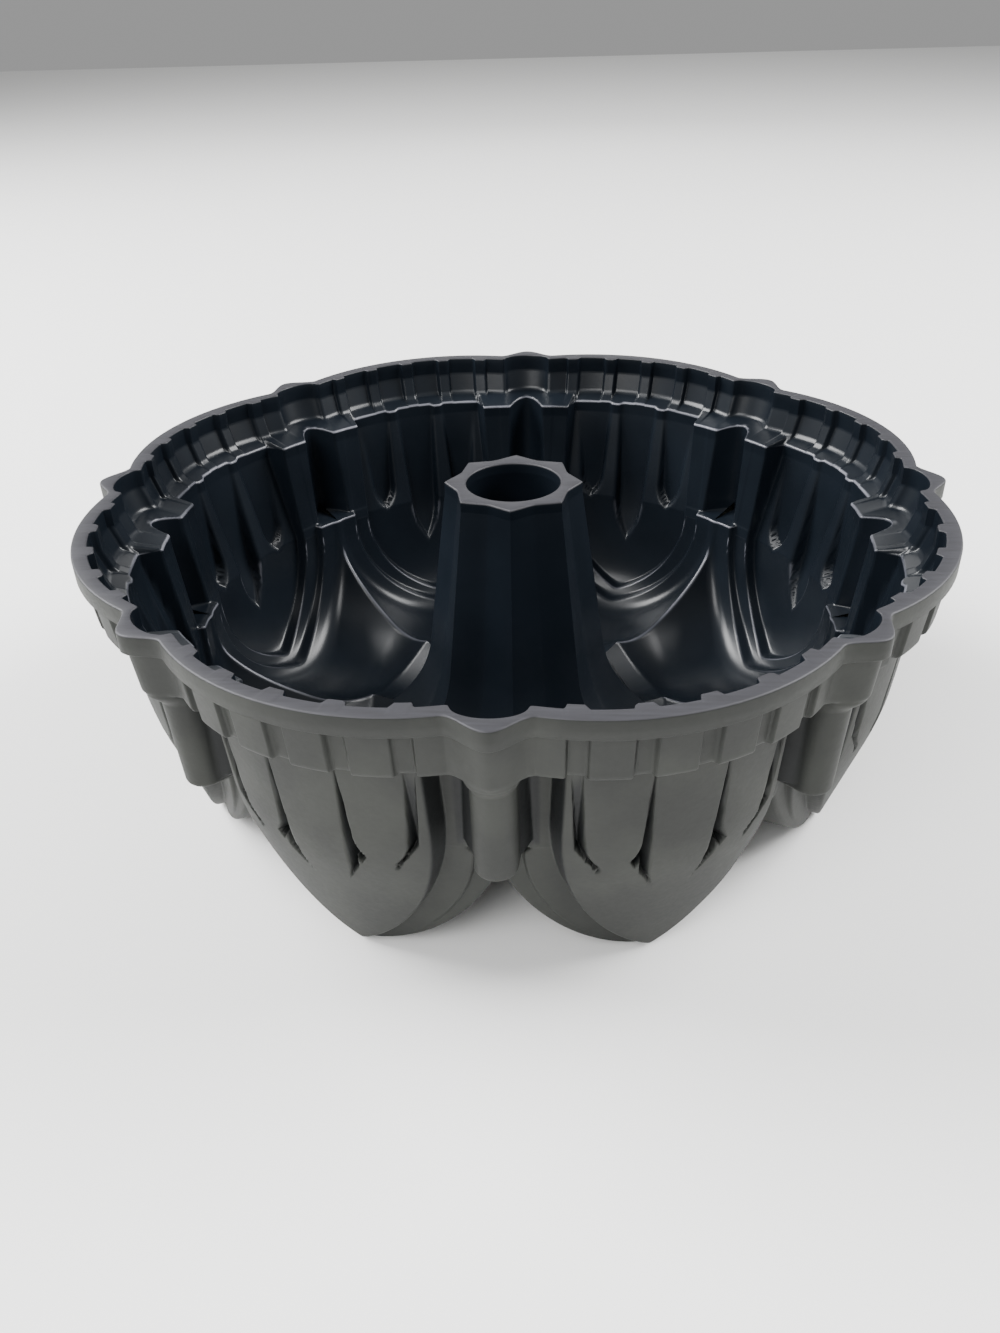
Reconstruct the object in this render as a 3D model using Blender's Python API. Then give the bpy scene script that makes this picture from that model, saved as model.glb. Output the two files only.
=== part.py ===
"""Fluted tube pan: a cast ring mould with eight pointed-arch bays around a centre tube.

The pan stands on the keels of its eight bays, rim up. Z is up, the pan's axis is the Z axis and
the base is at z = 0. Depths are measured down from the rim's top face. Azimuth 0 points along -Y
and grows towards +X; a column stands at azimuth 0 and at every 45 degrees from it, and a bay lies
between each two columns.

The real pan is one casting. It is divided here along its own visible lines into a rim, a pleated
band, eight bays, eight columns, a tube and the star-shaped collar round the tube's mouth.
"""

import math

import bmesh
import bpy

MM = 0.001

# Overall sizes
BAYS = 8
RIM_RADIUS = 125.0 * MM
HEIGHT = 94.0 * MM
SEAM = 0.3 * MM
WALL = 3.5 * MM
PITCH = 360.0 / BAYS
HALF_PITCH = PITCH / 2.0

# Making: edges sharper than the first stay crisp, and points closer than the second are one
SHARP_ANGLE = 28.0
WELD = 0.02 * MM
POINT_GRID = 0.001 * MM
TOLERANCE = 0.01 * MM
SEARCH_STEPS = 20

# Rim and pleated band
RIM_DEPTH = 5.5 * MM
LEDGE_DEPTH = 18.5 * MM
LEDGE_FLOOR = 3.5 * MM
BAND_SETBACK = 1.6 * MM
BAND_DRAFT_OUTSIDE = 1.3 * MM
BAND_DRAFT_INSIDE = 2.4 * MM
LEDGE_SLOPE = 2.2 * MM
BAY_BULGE = 0.0295
BULGE_ANGLE = 15.0
RIM_WIDTH = 4.2 * MM
TOOTH_STEP = 6.8
TOOTH_HALF_TOP = 1.0
TOOTH_FLANK = 0.35
TOOTH_DEPTH = 2.1 * MM
PLEAT_DEPTH = 1.3 * MM
NECK_ANGLE = 4.7
NICHE_ANGLE = 4.1
NICHE_BENDS = (1.0, 0.8, 0.55, 0.25)
LEAST_BEND_ANGLE = 0.05
CREST_WALL = 5.0 * MM
SHOULDER_WALL = 9.2 * MM
NICHE_RADIUS = RIM_RADIUS - CREST_WALL
SHOULDER_RADIUS = RIM_RADIUS - SHOULDER_WALL

# Bays below the ledge: three telescoping pointed arches, widest and innermost first. The widths
# are shares of the rim's radius, the apexes stand above the base, and the faces inside the rim
SHELF_DEPTH = 46.5 * MM
SPRING_DEPTH = SHELF_DEPTH + WALL
ARCH_WIDTH_SHARES = (0.304, 0.244, 0.1984)
ARCH_APEX_HEIGHTS = (3.3 * MM, 6.8 * MM, 9.0 * MM)
FACE_TOP_INSETS = (25.6 * MM, 20.4 * MM, 13.2 * MM)
FACE_SPRING_INSETS = (26.0 * MM, 23.8 * MM, 20.4 * MM)
ARCH_HALF_WIDTHS = tuple(RIM_RADIUS * share for share in ARCH_WIDTH_SHARES)
ARCH_APEX_DEPTHS = tuple(HEIGHT - rise for rise in ARCH_APEX_HEIGHTS)
FACE_TOP_RADII = tuple(RIM_RADIUS - inset for inset in FACE_TOP_INSETS)
FACE_SPRING_RADII = tuple(RIM_RADIUS - inset for inset in FACE_SPRING_INSETS)
FACE_FALLS_INSIDE = (20.0 * MM, 12.0 * MM, 8.5 * MM)
FACE_FALLS_OUTSIDE = (18.0 * MM, 11.0 * MM, 6.0 * MM)
FACE_WALLS = (3.1 * MM, 3.1 * MM, 3.4 * MM)
ARC_STEPS = 6
KEEL_HALF_WIDTH = 2.8 * MM
WINDOW_SHARES = (0.45, 0.8, 1.0)

# Floor of a bay, rising towards the tube
LOBE_INNER_RADIUS = 42.0 * MM
LOBE_RISE = 10.0 * MM
LOBE_LEVEL_RADIUS = 64.0 * MM
LOBE_STATIONS = (49.0 * MM, 57.0 * MM, 65.0 * MM)

# Mullions of the window in each bay: three wide hollow bars side by side, the middle one longest.
# Each tuple has the middle bar's value and then the side bars'
MULLION_ANGLE = 8.55
MULLION_DEPTHS = (70.0 * MM, 53.5 * MM)
MULLION_HALF_WIDTHS = (7.7 * MM, 6.6 * MM)
MULLION_POINTS = (17.5 * MM, 10.5 * MM)
MULLION_SIDE_WALL = 2.6 * MM
MULLION_FOOT_WALL = 3.6 * MM
MULLION_INSET = 8.0 * MM
MULLION_TOP_RADIUS = RIM_RADIUS - MULLION_INSET
MULLION_DRAFT = 4.6 * MM
MULLION_WALL = 3.4 * MM
MULLION_ROOT = 1.1 * MM
GROOVE_REACH = 6.8 * MM

# Columns
COLUMN_HALF_WIDTH = 5.4 * MM
COLUMN_STEPS = 8
CORBEL_HALF_WIDTH = 6.5 * MM
CORBEL_DEPTH = 22.5 * MM
CORBEL_BACK_INSET = 15.0 * MM
CORBEL_FRONT_INSET = 3.5 * MM
CORBEL_BACK_RADIUS = RIM_RADIUS - CORBEL_BACK_INSET
CORBEL_FRONT_RADIUS = RIM_RADIUS - CORBEL_FRONT_INSET
COLUMN_FOOT_DEPTH = SHELF_DEPTH + WALL
COLUMN_INSET = 7.0 * MM
COLUMN_FRONT_RADIUS = RIM_RADIUS - COLUMN_INSET
COLUMN_DRAFT = 1.6 * MM
NICHE_HALF_WIDTH = 2.6 * MM
NICHE_STEPS = 6
NICHE_BACK_INSET = 12.5 * MM
NICHE_TOP_INSET = 10.5 * MM
NICHE_BACK_RADIUS = RIM_RADIUS - NICHE_BACK_INSET
NICHE_TOP_RADIUS = RIM_RADIUS - NICHE_TOP_INSET

# Centre tube
TUBE_TOP_DEPTH = 0.6 * MM
COLLAR_THICKNESS = 3.2 * MM
BORE_RADIUS = 14.0 * MM
STAR_TIP_RADIUS = 20.5 * MM
STAR_VALLEY_RADIUS = 17.5 * MM
TUBE_FOOT_DEPTH = 57.0 * MM
TUBE_FOOT_TIP = 28.0 * MM
TUBE_FOOT_VALLEY = 24.5 * MM
TUBE_WALL = 3.2 * MM
TUBE_ROWS = 3
FLUTE_STEPS = 4
FLUTE_POWER = 1.6
FOOT_FLARES = ((0.2, 0.6), (0.5, 0.85))
BORE_FLARES = ((0.5, 0.9), (0.2, 0.65))

# Colours
GROUND_COLOUR = (0.19, 0.19, 0.2)
PAINT_COLOUR = (0.13, 0.135, 0.125)
LINING_COLOUR = (0.01, 0.013, 0.018)


def clear_scene():
    """Remove every object that the file opened with."""
    for item in list(bpy.data.objects):
        bpy.data.objects.remove(item, do_unlink=True)


def make_material(name, colour, roughness, metallic):
    """Return a Principled material of one colour."""
    material = bpy.data.materials.new(name)
    material.use_nodes = True
    shader = material.node_tree.nodes["Principled BSDF"]
    shader.inputs["Base Color"].default_value = (*colour, 1.0)
    shader.inputs["Roughness"].default_value = roughness
    shader.inputs["Metallic"].default_value = metallic
    return material


def add_object(name, mesh, material):
    """Link a mesh into the scene as a named, smooth-shaded object."""
    if not mesh.materials:
        mesh.materials.append(material)
    mesh.shade_smooth()
    mesh.set_sharp_from_angle(angle=math.radians(SHARP_ANGLE))
    item = bpy.data.objects.new(name, mesh)
    bpy.context.scene.collection.objects.link(item)
    return item


def skin(name, rings, closed=False):
    """Return a mesh through rings of equal length: a capped body, or a ring body if closed."""
    shape = bmesh.new()
    loops = [[shape.verts.new(point) for point in ring] for ring in rings]
    pairs = list(zip(loops, loops[1:]))
    if closed:
        pairs.append((loops[-1], loops[0]))
    else:
        shape.faces.new(loops[0])
        shape.faces.new(loops[-1])
    for near, far in pairs:
        for index in range(len(near)):
            after = (index + 1) % len(near)
            shape.faces.new((near[index], near[after], far[after], far[index]))
    bmesh.ops.recalc_face_normals(shape, faces=shape.faces)
    mesh = bpy.data.meshes.new(name)
    shape.to_mesh(mesh)
    shape.free()
    return mesh


def combine(mesh, tools, operation):
    """Return the mesh after an exact Boolean with each tool mesh in turn."""
    scene = bpy.context.scene
    base = bpy.data.objects.new("combine_base", mesh)
    scene.collection.objects.link(base)
    cutters = []
    for tool in tools:
        cutter = bpy.data.objects.new("combine_tool", tool)
        scene.collection.objects.link(cutter)
        modifier = base.modifiers.new("combine", "BOOLEAN")
        modifier.operation = operation
        modifier.solver = "EXACT"
        modifier.object = cutter
        cutters.append(cutter)
    graph = bpy.context.evaluated_depsgraph_get()
    result = bpy.data.meshes.new_from_object(base.evaluated_get(graph))
    for item in (base, *cutters):
        bpy.data.objects.remove(item, do_unlink=True)
    return result


def tidy(mesh):
    """Weld stray points, drop needle edges and merge flat neighbours into plain faces."""
    shape = bmesh.new()
    shape.from_mesh(mesh)
    bmesh.ops.remove_doubles(shape, verts=shape.verts, dist=WELD)
    bmesh.ops.dissolve_degenerate(shape, dist=WELD, edges=shape.edges)
    bmesh.ops.recalc_face_normals(shape, faces=shape.faces)
    shape.to_mesh(mesh)
    shape.free()
    return mesh


def level(depth):
    """Return the height above the base of a depth below the rim."""
    return HEIGHT - depth


def polar(radius, azimuth, depth):
    """Return the point at a radius, an azimuth in degrees and a depth."""
    angle = math.radians(azimuth)
    return (radius * math.sin(angle), -radius * math.cos(angle), level(depth))


def blend(low, high, share):
    """Return the value a share of the way from low to high."""
    return low + (high - low) * share


def clamp(value, low=0.0, high=1.0):
    """Return the value held between two limits."""
    return max(low, min(high, value))


def bay_azimuth(index):
    """Return the azimuth of a bay's centre line."""
    return (index + 0.5) * PITCH


# Rim and band outlines, as radii over the offset from a bay's centre line

def bulge(offset):
    """Return the share of the radius left at an offset on a bowed bay."""
    return 1.0 - BAY_BULGE * (offset / BULGE_ANGLE) ** 2


def rim_outer(offset):
    """Return the rim's outer radius: a bowed bay, a neck and the column's crest."""
    neck = HALF_PITCH - NECK_ANGLE
    if abs(offset) <= neck:
        return RIM_RADIUS * bulge(offset)
    share = (HALF_PITCH - abs(offset)) / NECK_ANGLE
    return blend(RIM_RADIUS * bulge(neck), RIM_RADIUS, 1.0 - share * share)


def tooth_share(offset):
    """Return how far a tooth stands out at an offset, from 0 beside it to 1 on its top."""
    nearest = clamp(round(abs(offset) / TOOTH_STEP), 0, 2) * TOOTH_STEP
    away = abs(abs(offset) - nearest) - TOOTH_HALF_TOP
    return clamp(1.0 - away / TOOTH_FLANK)


def rim_inner(offset):
    """Return the rim's inner radius: a toothed bay, then the round niche of a column."""
    corner = HALF_PITCH - NICHE_ANGLE
    if abs(offset) <= corner - TOOTH_HALF_TOP:
        plain = (RIM_RADIUS - RIM_WIDTH) * bulge(offset)
        return plain - TOOTH_DEPTH * tooth_share(offset)
    share = clamp((HALF_PITCH - abs(offset)) / NICHE_ANGLE)
    return blend(SHOULDER_RADIUS, NICHE_RADIUS, math.sqrt(1.0 - share * share))


def band_outer(offset):
    """Return the band's outer radius, set back from the rim and grooved behind each tooth."""
    return rim_outer(offset) - BAND_SETBACK - PLEAT_DEPTH * tooth_share(offset)


def ledge_bends():
    """Return the offsets at which the ledge's edge turns: window, jamb, column face and niche."""
    window = math.degrees(math.asin(ARCH_HALF_WIDTHS[2] / FACE_TOP_RADII[2]))
    jamb = math.degrees(math.asin(ARCH_HALF_WIDTHS[2] / FACE_TOP_RADII[1]))
    face = HALF_PITCH - math.degrees(math.asin(NICHE_HALF_WIDTH / FACE_TOP_RADII[1]))
    niche = HALF_PITCH - math.degrees(math.asin(NICHE_HALF_WIDTH / NICHE_TOP_RADIUS))
    return window, jamb, face, niche


def ledge_inner(offset):
    """Return the radius at which the ledge ends, over the bay's stepped wall and the niche."""
    window, jamb, face, niche = ledge_bends()
    place = abs(offset)
    if place <= jamb:
        share = clamp((place - window) / (jamb - window))
        return blend(FACE_TOP_RADII[2], FACE_TOP_RADII[1], share)
    share = clamp((place - face) / (niche - face))
    return blend(FACE_TOP_RADII[1], NICHE_TOP_RADIUS, share)


def drafted(radius_at, inset):
    """Return an outline's rule drawn in by an inset all round."""
    return lambda offset: radius_at(offset) - inset


def outline_offsets():
    """Return the offsets across one bay at which the rim and band outlines bend."""
    half = {0.0, *ledge_bends()}
    for tooth in (0.0, TOOTH_STEP, 2.0 * TOOTH_STEP):
        for side in (-1.0, 1.0):
            half.add(abs(tooth + side * TOOTH_HALF_TOP))
            half.add(abs(tooth + side * (TOOTH_HALF_TOP + TOOTH_FLANK)))
    corner = HALF_PITCH - NICHE_ANGLE
    half.update((corner - TOOTH_HALF_TOP, HALF_PITCH - NECK_ANGLE))
    half.update(HALF_PITCH - NICHE_ANGLE * share for share in NICHE_BENDS)
    wanted = sorted(half)
    kept = [wanted[0]]
    for offset in wanted[1:]:
        if min(offset - kept[-1], HALF_PITCH - offset) > LEAST_BEND_ANGLE:
            kept.append(offset)
    return [-offset for offset in reversed(kept[1:])] + kept + [HALF_PITCH]


def outline(radius_at, depth):
    """Return the closed ring of points of an outline at one depth."""
    ring = []
    for index in range(BAYS):
        for offset in outline_offsets():
            ring.append(polar(radius_at(offset), bay_azimuth(index) + offset, depth))
    return ring


def make_rim():
    """Return the flat-topped rim."""
    foot = RIM_DEPTH - SEAM / 2.0
    return skin("rim_flange", [outline(rim_inner, 0.0), outline(rim_outer, 0.0),
                               outline(rim_outer, foot), outline(rim_inner, foot)], closed=True)


def make_band():
    """Return the pleated band, with the ledge that carries it on the bays and columns."""
    top = RIM_DEPTH + SEAM / 2.0
    foot = LEDGE_DEPTH - SEAM / 2.0
    floor = LEDGE_DEPTH - LEDGE_FLOOR
    return skin("pleated_band", [outline(rim_inner, top), outline(band_outer, top),
                                 outline(drafted(band_outer, BAND_DRAFT_OUTSIDE), foot),
                                 outline(ledge_inner, foot),
                                 outline(ledge_inner, floor),
                                 outline(drafted(rim_inner, BAND_DRAFT_INSIDE),
                                         floor - LEDGE_SLOPE)],
                closed=True)


# Bays, in a frame whose centre line runs along -Y

def arch_circle(order):
    """Return the radius of an arch's two arcs and how far their centres pass its middle."""
    rise = ARCH_APEX_DEPTHS[order] - SPRING_DEPTH
    half = ARCH_HALF_WIDTHS[order]
    radius = (rise * rise + half * half) / (2.0 * half)
    return radius, radius - half


def arch_depth(order, across, wall):
    """Return the depth of an arch at a distance across the bay, the base being its limit."""
    radius, shift = arch_circle(order)
    reach = radius + wall
    fall = math.sqrt(max(reach * reach - (abs(across) + shift) ** 2, 0.0))
    return min(SPRING_DEPTH + fall, HEIGHT)


def arch_stations(order, wall, widest):
    """Return the distances across the bay at which an arch's curve bends, widest first."""
    radius, shift = arch_circle(order)
    reach = radius + wall
    first = math.acos(min((widest + shift) / reach, 1.0))
    last = math.acos((KEEL_HALF_WIDTH + shift) / reach)
    half = [reach * math.cos(blend(first, last, step / ARC_STEPS)) - shift
            for step in range(ARC_STEPS + 1)]
    return half + [0.0] + [-across for across in reversed(half)]


def face_radius(order, wall, depth):
    """Return the radius of the face that ends an arch, at a depth."""
    slope = clamp((depth - LEDGE_DEPTH) / (SPRING_DEPTH - LEDGE_DEPTH))
    upright = blend(FACE_TOP_RADII[order], FACE_SPRING_RADII[order], slope)
    fall = clamp((depth - SPRING_DEPTH) / (ARCH_APEX_DEPTHS[order] + wall - SPRING_DEPTH))
    drop = FACE_FALLS_OUTSIDE[order] if wall else FACE_FALLS_INSIDE[order]
    reach = FACE_WALLS[order] if wall else 0.0
    return upright + reach - drop * (1.0 - math.sqrt(1.0 - fall * fall))


def bay_point(radius, across, depth):
    """Return the point at a radius from the pan's axis and a distance across the bay."""
    return (across, -math.sqrt(radius * radius - across * across), level(depth))


def seam_across(radius):
    """Return how far across the bay its side seam lies at a radius."""
    return radius * math.sin(math.radians(HALF_PITCH) - math.asin(SEAM / 2.0 / radius))


def column_across(radius):
    """Return how far across the bay the column's seam lies at a radius."""
    half = COLUMN_HALF_WIDTH + SEAM
    return radius * math.sin(math.radians(HALF_PITCH) - math.asin(half / radius))


def lobe_end(wall):
    """Return how far across the bay the widest arch meets the side seam, at its face."""
    across = ARCH_HALF_WIDTHS[0]
    for _ in range(SEARCH_STEPS):
        across = seam_across(face_radius(0, wall, arch_depth(0, across, wall)))
    return across


def lobe_rise(along):
    """Return how far the lobe's floor has risen towards the tube."""
    share = max((LOBE_LEVEL_RADIUS - along) / (LOBE_LEVEL_RADIUS - LOBE_INNER_RADIUS), 0.0)
    return LOBE_RISE * share * share


def lobe_depth(radius, across, wall):
    """Return the depth of the lobe's floor at a radius and a distance across the bay."""
    along = math.sqrt(radius * radius - across * across)
    return arch_depth(0, across, wall) - lobe_rise(along)


def lobe_rings(wall):
    """Return the lobe's rings from the tube's foot to its face, and the shelf corners there."""
    end = lobe_end(wall)
    stations = arch_stations(0, wall, end)
    rings = []
    edge = LOBE_INNER_RADIUS + SEAM / 2.0
    for radius in (edge, *LOBE_STATIONS):
        ring = []
        for across in stations:
            there = across / end * seam_across(radius)
            ring.append(bay_point(radius, there, lobe_depth(radius, there, wall)))
        rings.append(ring)
    rings.append([bay_point(face_radius(0, wall, arch_depth(0, across, wall)), across,
                            arch_depth(0, across, wall)) for across in stations])
    radius = face_radius(0, wall, SHELF_DEPTH)
    corner = seam_across(radius)
    return rings, (bay_point(radius, corner, SHELF_DEPTH), bay_point(radius, -corner, SHELF_DEPTH))


def arch_ring(order, wall, face, top):
    """Return an arch's ring on a face: its left leg from a depth down, its curve, its right leg."""
    half = ARCH_HALF_WIDTHS[order] + wall
    legs = [SHELF_DEPTH] if top == SHELF_DEPTH else [top, SHELF_DEPTH]
    curve = [(across, arch_depth(order, across, wall))
             for across in arch_stations(order, wall, half)]
    points = ([(half, depth) for depth in legs] + curve
              + [(-half, depth) for depth in reversed(legs)])
    return [bay_point(face_radius(face, wall, depth), across, depth) for across, depth in points]


class Surface:
    """Faces laid side by side on shared points."""

    def __init__(self):
        self.shape = bmesh.new()
        self.known = {}

    def vert(self, point):
        """Return the vertex at a point, made once."""
        key = tuple(round(value / POINT_GRID) for value in point)
        if key not in self.known:
            self.known[key] = self.shape.verts.new(point)
        return self.known[key]

    def face(self, points):
        """Add one face through points, dropping repeats."""
        verts = []
        for point in points:
            vert = self.vert(point)
            if vert not in verts:
                verts.append(vert)
        if len(verts) > 2 and not self.shape.faces.get(verts):
            self.shape.faces.new(verts)

    def strip(self, near, far):
        """Add the faces between two rows of equal length."""
        for index in range(len(near) - 1):
            self.face((near[index], near[index + 1], far[index + 1], far[index]))

    def finish(self, name):
        """Return the mesh, with its faces turned outwards."""
        bmesh.ops.triangulate(self.shape, faces=[face for face in self.shape.faces
                                                 if len(face.verts) == 4])
        bmesh.ops.recalc_face_normals(self.shape, faces=self.shape.faces)
        mesh = bpy.data.meshes.new(name)
        self.shape.to_mesh(mesh)
        self.shape.free()
        return mesh


def window_rows(wall, top):
    """Return the window panel's rows, from its top edge down to the arch that frames it."""
    half = ARCH_HALF_WIDTHS[2] + wall
    columns = arch_stations(2, wall, half)
    rows = [[bay_point(face_radius(2, wall, depth), across, depth) for across in columns]
            for depth in (top, SHELF_DEPTH)]
    for share in WINDOW_SHARES:
        row = []
        for across in columns:
            foot = arch_depth(2, across, wall)
            leg = abs(across) > half - TOLERANCE
            depth = foot if leg else blend(SHELF_DEPTH, foot, share)
            row.append(bay_point(face_radius(2, wall, depth), across, depth))
        rows.append(row)
    return rows


def lay_side(surface, wall, top):
    """Lay one side of a bay's shell and return its border rows."""
    lobe, corners = lobe_rings(wall)
    for near, far in zip(lobe, lobe[1:]):
        surface.strip(near, far)
    step = arch_ring(1, wall, 0, SHELF_DEPTH)
    surface.strip([corners[0], *lobe[-1], corners[1]], step)
    outer_step = arch_ring(1, wall, 1, SHELF_DEPTH)
    surface.strip(step, outer_step)
    frame = arch_ring(2, wall, 1, top)
    surface.strip(outer_step, frame[1:-1])
    reveal = arch_ring(2, wall, 2, top)
    surface.strip(frame, reveal)
    rows = window_rows(wall, top)
    for near, far in zip(rows, rows[1:]):
        surface.strip(near, far)
    wings = []
    for side, end in ((1.0, 0), (-1.0, -1)):
        jambs = []
        for depth in (top, SHELF_DEPTH):
            radius = face_radius(1, wall, depth)
            jambs.append([bay_point(radius, side * column_across(radius), depth),
                          bay_point(radius, side * (ARCH_HALF_WIDTHS[1] + wall), depth)])
        heads = [frame[0], frame[1]] if end == 0 else [frame[-1], frame[-2]]
        surface.strip([*jambs[0], heads[0]], [*jambs[1], heads[1]])
        wings.append(jambs)
    top_row = [*wings[0][0], frame[0], *rows[0], frame[-1], *reversed(wings[1][0])]
    return {"edge": lobe[0], "seams": [[ring[end] for ring in lobe] + [corner]
                                       for end, corner in ((0, corners[0]), (-1, corners[1]))],
            "top": top_row, "wings": wings, "step": step, "face": outer_step}


def mullion_radius(wall, depth):
    """Return the radius of a mullion's front, or of the groove's back within it."""
    share = (depth - LEDGE_DEPTH) / (MULLION_DEPTHS[0] - LEDGE_DEPTH)
    return MULLION_TOP_RADIUS - MULLION_DRAFT * share - wall


def mullion_solid(offset, kind, head, wall):
    """Return one mullion, or the groove within it: an upright bar with a pointed lower end."""
    middle = FACE_SPRING_RADII[2] * math.sin(math.radians(offset))
    half_width = MULLION_HALF_WIDTHS[kind] - (MULLION_SIDE_WALL if wall else 0.0)
    foot = MULLION_DEPTHS[kind] - (MULLION_FOOT_WALL if wall else 0.0)
    bend = foot - MULLION_POINTS[kind] * half_width / MULLION_HALF_WIDTHS[kind]
    shape = [(middle - half_width, head), (middle - half_width, bend), (middle, foot),
             (middle + half_width, bend), (middle + half_width, head)]
    start = -GROOVE_REACH if wall else MULLION_ROOT
    near = [bay_point(face_radius(2, 0.0, depth) + start, across, depth)
            for across, depth in shape]
    far = [bay_point(mullion_radius(wall, depth), across, depth) for across, depth in shape]
    return skin("mullion", [near, far])


def mullion_places():
    """Return each mullion's offset in a window, and its kind: 0 for the middle, 1 for a side."""
    return ((-MULLION_ANGLE, 1), (0.0, 0), (MULLION_ANGLE, 1))


def make_bay():
    """Return one bay: a shell of nested arches, with hollow mullions on the window's outside."""
    top = LEDGE_DEPTH + SEAM / 2.0
    surface = Surface()
    inside = lay_side(surface, 0.0, top)
    outside = lay_side(surface, WALL, top)
    surface.strip(inside["edge"], outside["edge"])
    surface.strip(inside["top"], outside["top"])
    for side in (0, 1):
        surface.strip(inside["seams"][side], outside["seams"][side])
        far = 0 if side == 0 else -1
        inner_jamb = inside["wings"][side][1]
        outer_jamb = outside["wings"][side][1]
        surface.face((inside["wings"][side][0][0], inner_jamb[0], outer_jamb[0],
                      outside["wings"][side][0][0]))
        surface.face((inside["seams"][side][-1], inside["step"][far], inside["face"][far],
                      inner_jamb[0], outside["seams"][side][-1]))
        surface.face((outside["seams"][side][-1], inner_jamb[0], outer_jamb[0],
                      outside["face"][far], outside["step"][far]))
    bay = surface.finish("bay")
    bars = [mullion_solid(offset, kind, top + SEAM, 0.0) for offset, kind in mullion_places()]
    grooves = [mullion_solid(offset, kind, top - SEAM, MULLION_WALL)
               for offset, kind in mullion_places()]
    bay = combine(bay, bars, "UNION")
    bay = combine(bay, grooves, "DIFFERENCE")
    bay.name = "bay"
    return tidy(bay)


def column_ring(depth):
    """Return a column's outline at a depth, in a frame whose column points along -Y."""
    share = (depth - CORBEL_DEPTH) / (COLUMN_FOOT_DEPTH - CORBEL_DEPTH)
    flare = clamp((CORBEL_DEPTH - depth) / (CORBEL_DEPTH - LEDGE_DEPTH))
    half = blend(COLUMN_HALF_WIDTH, CORBEL_HALF_WIDTH, flare)
    front = blend(COLUMN_FRONT_RADIUS - COLUMN_DRAFT * max(share, 0.0), CORBEL_FRONT_RADIUS, flare)
    back = max(face_radius(1, 0.0, depth), face_radius(0, WALL, SHELF_DEPTH) + SEAM)
    ring = [(-COLUMN_HALF_WIDTH, -back, level(depth)),
            (-COLUMN_HALF_WIDTH, -CORBEL_BACK_RADIUS, level(depth))]
    for step in range(COLUMN_STEPS + 1):
        angle = math.pi * step / COLUMN_STEPS
        ring.append((-half * math.cos(angle), -(front - half * (1.0 - math.sin(angle))),
                     level(depth)))
    ring.append((COLUMN_HALF_WIDTH, -CORBEL_BACK_RADIUS, level(depth)))
    ring.append((COLUMN_HALF_WIDTH, -back, level(depth)))
    return ring


def niche_ring(depth):
    """Return the outline of the niche in a column at a depth."""
    share = (SHELF_DEPTH - depth) / (SHELF_DEPTH - LEDGE_DEPTH)
    deepest = blend(NICHE_BACK_RADIUS, NICHE_TOP_RADIUS, share)
    back = FACE_SPRING_RADII[0]
    ring = [(-NICHE_HALF_WIDTH, -back, level(depth))]
    for step in range(NICHE_STEPS + 1):
        angle = math.pi * step / NICHE_STEPS
        ring.append((-NICHE_HALF_WIDTH * math.cos(angle),
                     -(deepest - NICHE_HALF_WIDTH * (1.0 - math.sin(angle))),
                     level(depth)))
    ring.append((NICHE_HALF_WIDTH, -back, level(depth)))
    return ring


def make_column():
    """Return one column: a round-fronted pier with a niche down its back and a floor below it."""
    pier = skin("column", [column_ring(depth)
                           for depth in (LEDGE_DEPTH + SEAM / 2.0, CORBEL_DEPTH, SHELF_DEPTH,
                                         COLUMN_FOOT_DEPTH)])
    niche = skin("niche", [niche_ring(0.0), niche_ring(SHELF_DEPTH)])
    column = combine(pier, [niche], "DIFFERENCE")
    column.name = "column"
    return tidy(column)


# Tube

def tube_ring(tip_radius, valley_radius, depth_at):
    """Return a fluted ring whose tips face the columns, at the depth of each azimuth."""
    ring = []
    for step in range(BAYS * 2 * FLUTE_STEPS):
        azimuth = step * HALF_PITCH / FLUTE_STEPS
        offset = abs((azimuth + HALF_PITCH) % PITCH - HALF_PITCH)
        share = 1.0 - offset / HALF_PITCH
        radius = blend(valley_radius, tip_radius, share ** FLUTE_POWER)
        ring.append(polar(radius, azimuth, depth_at(radius, HALF_PITCH - offset)))
    return ring


def flat_depth(depth):
    """Return a depth rule that is the same all round."""
    return lambda radius, offset: depth


def foot_depth(wall):
    """Return the rule that follows the bays' floors where they meet the tube's foot."""
    return lambda radius, offset: lobe_depth(
        radius, radius * math.sin(math.radians(offset)), wall)


def make_tube():
    """Return the fluted tube, flared at its foot to meet the bays."""
    rise = TUBE_TOP_DEPTH + COLLAR_THICKNESS + SEAM
    edge = LOBE_INNER_RADIUS - SEAM / 2.0
    outside = []
    bore = []
    for row in range(TUBE_ROWS + 1):
        share = row / TUBE_ROWS
        depth = blend(rise, TUBE_FOOT_DEPTH, share)
        tip = blend(STAR_TIP_RADIUS, TUBE_FOOT_TIP, share)
        valley = blend(STAR_VALLEY_RADIUS, TUBE_FOOT_VALLEY, share)
        outside.append(tube_ring(tip, valley, flat_depth(depth)))
        hole = blend(BORE_RADIUS, TUBE_FOOT_VALLEY - TUBE_WALL, share)
        bore.append(tube_ring(hole, hole, flat_depth(depth)))
    top_rule = foot_depth(0.0)
    low_rule = foot_depth(WALL)

    def flare(share, rule):
        return lambda radius, offset: blend(TUBE_FOOT_DEPTH, rule(edge, offset), share)
    for out, down in FOOT_FLARES:
        outside.append(tube_ring(blend(TUBE_FOOT_TIP, edge, out),
                                 blend(TUBE_FOOT_VALLEY, edge, out), flare(down, top_rule)))
    outside.append(tube_ring(edge, edge, top_rule))
    under = [tube_ring(edge, edge, low_rule)]
    hole = TUBE_FOOT_VALLEY - TUBE_WALL
    for out, down in BORE_FLARES:
        radius = blend(hole, edge, out)
        under.append(tube_ring(radius, radius, flare(down, low_rule)))
    return skin("centre_tube", outside + under + bore[::-1], closed=True)


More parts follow.
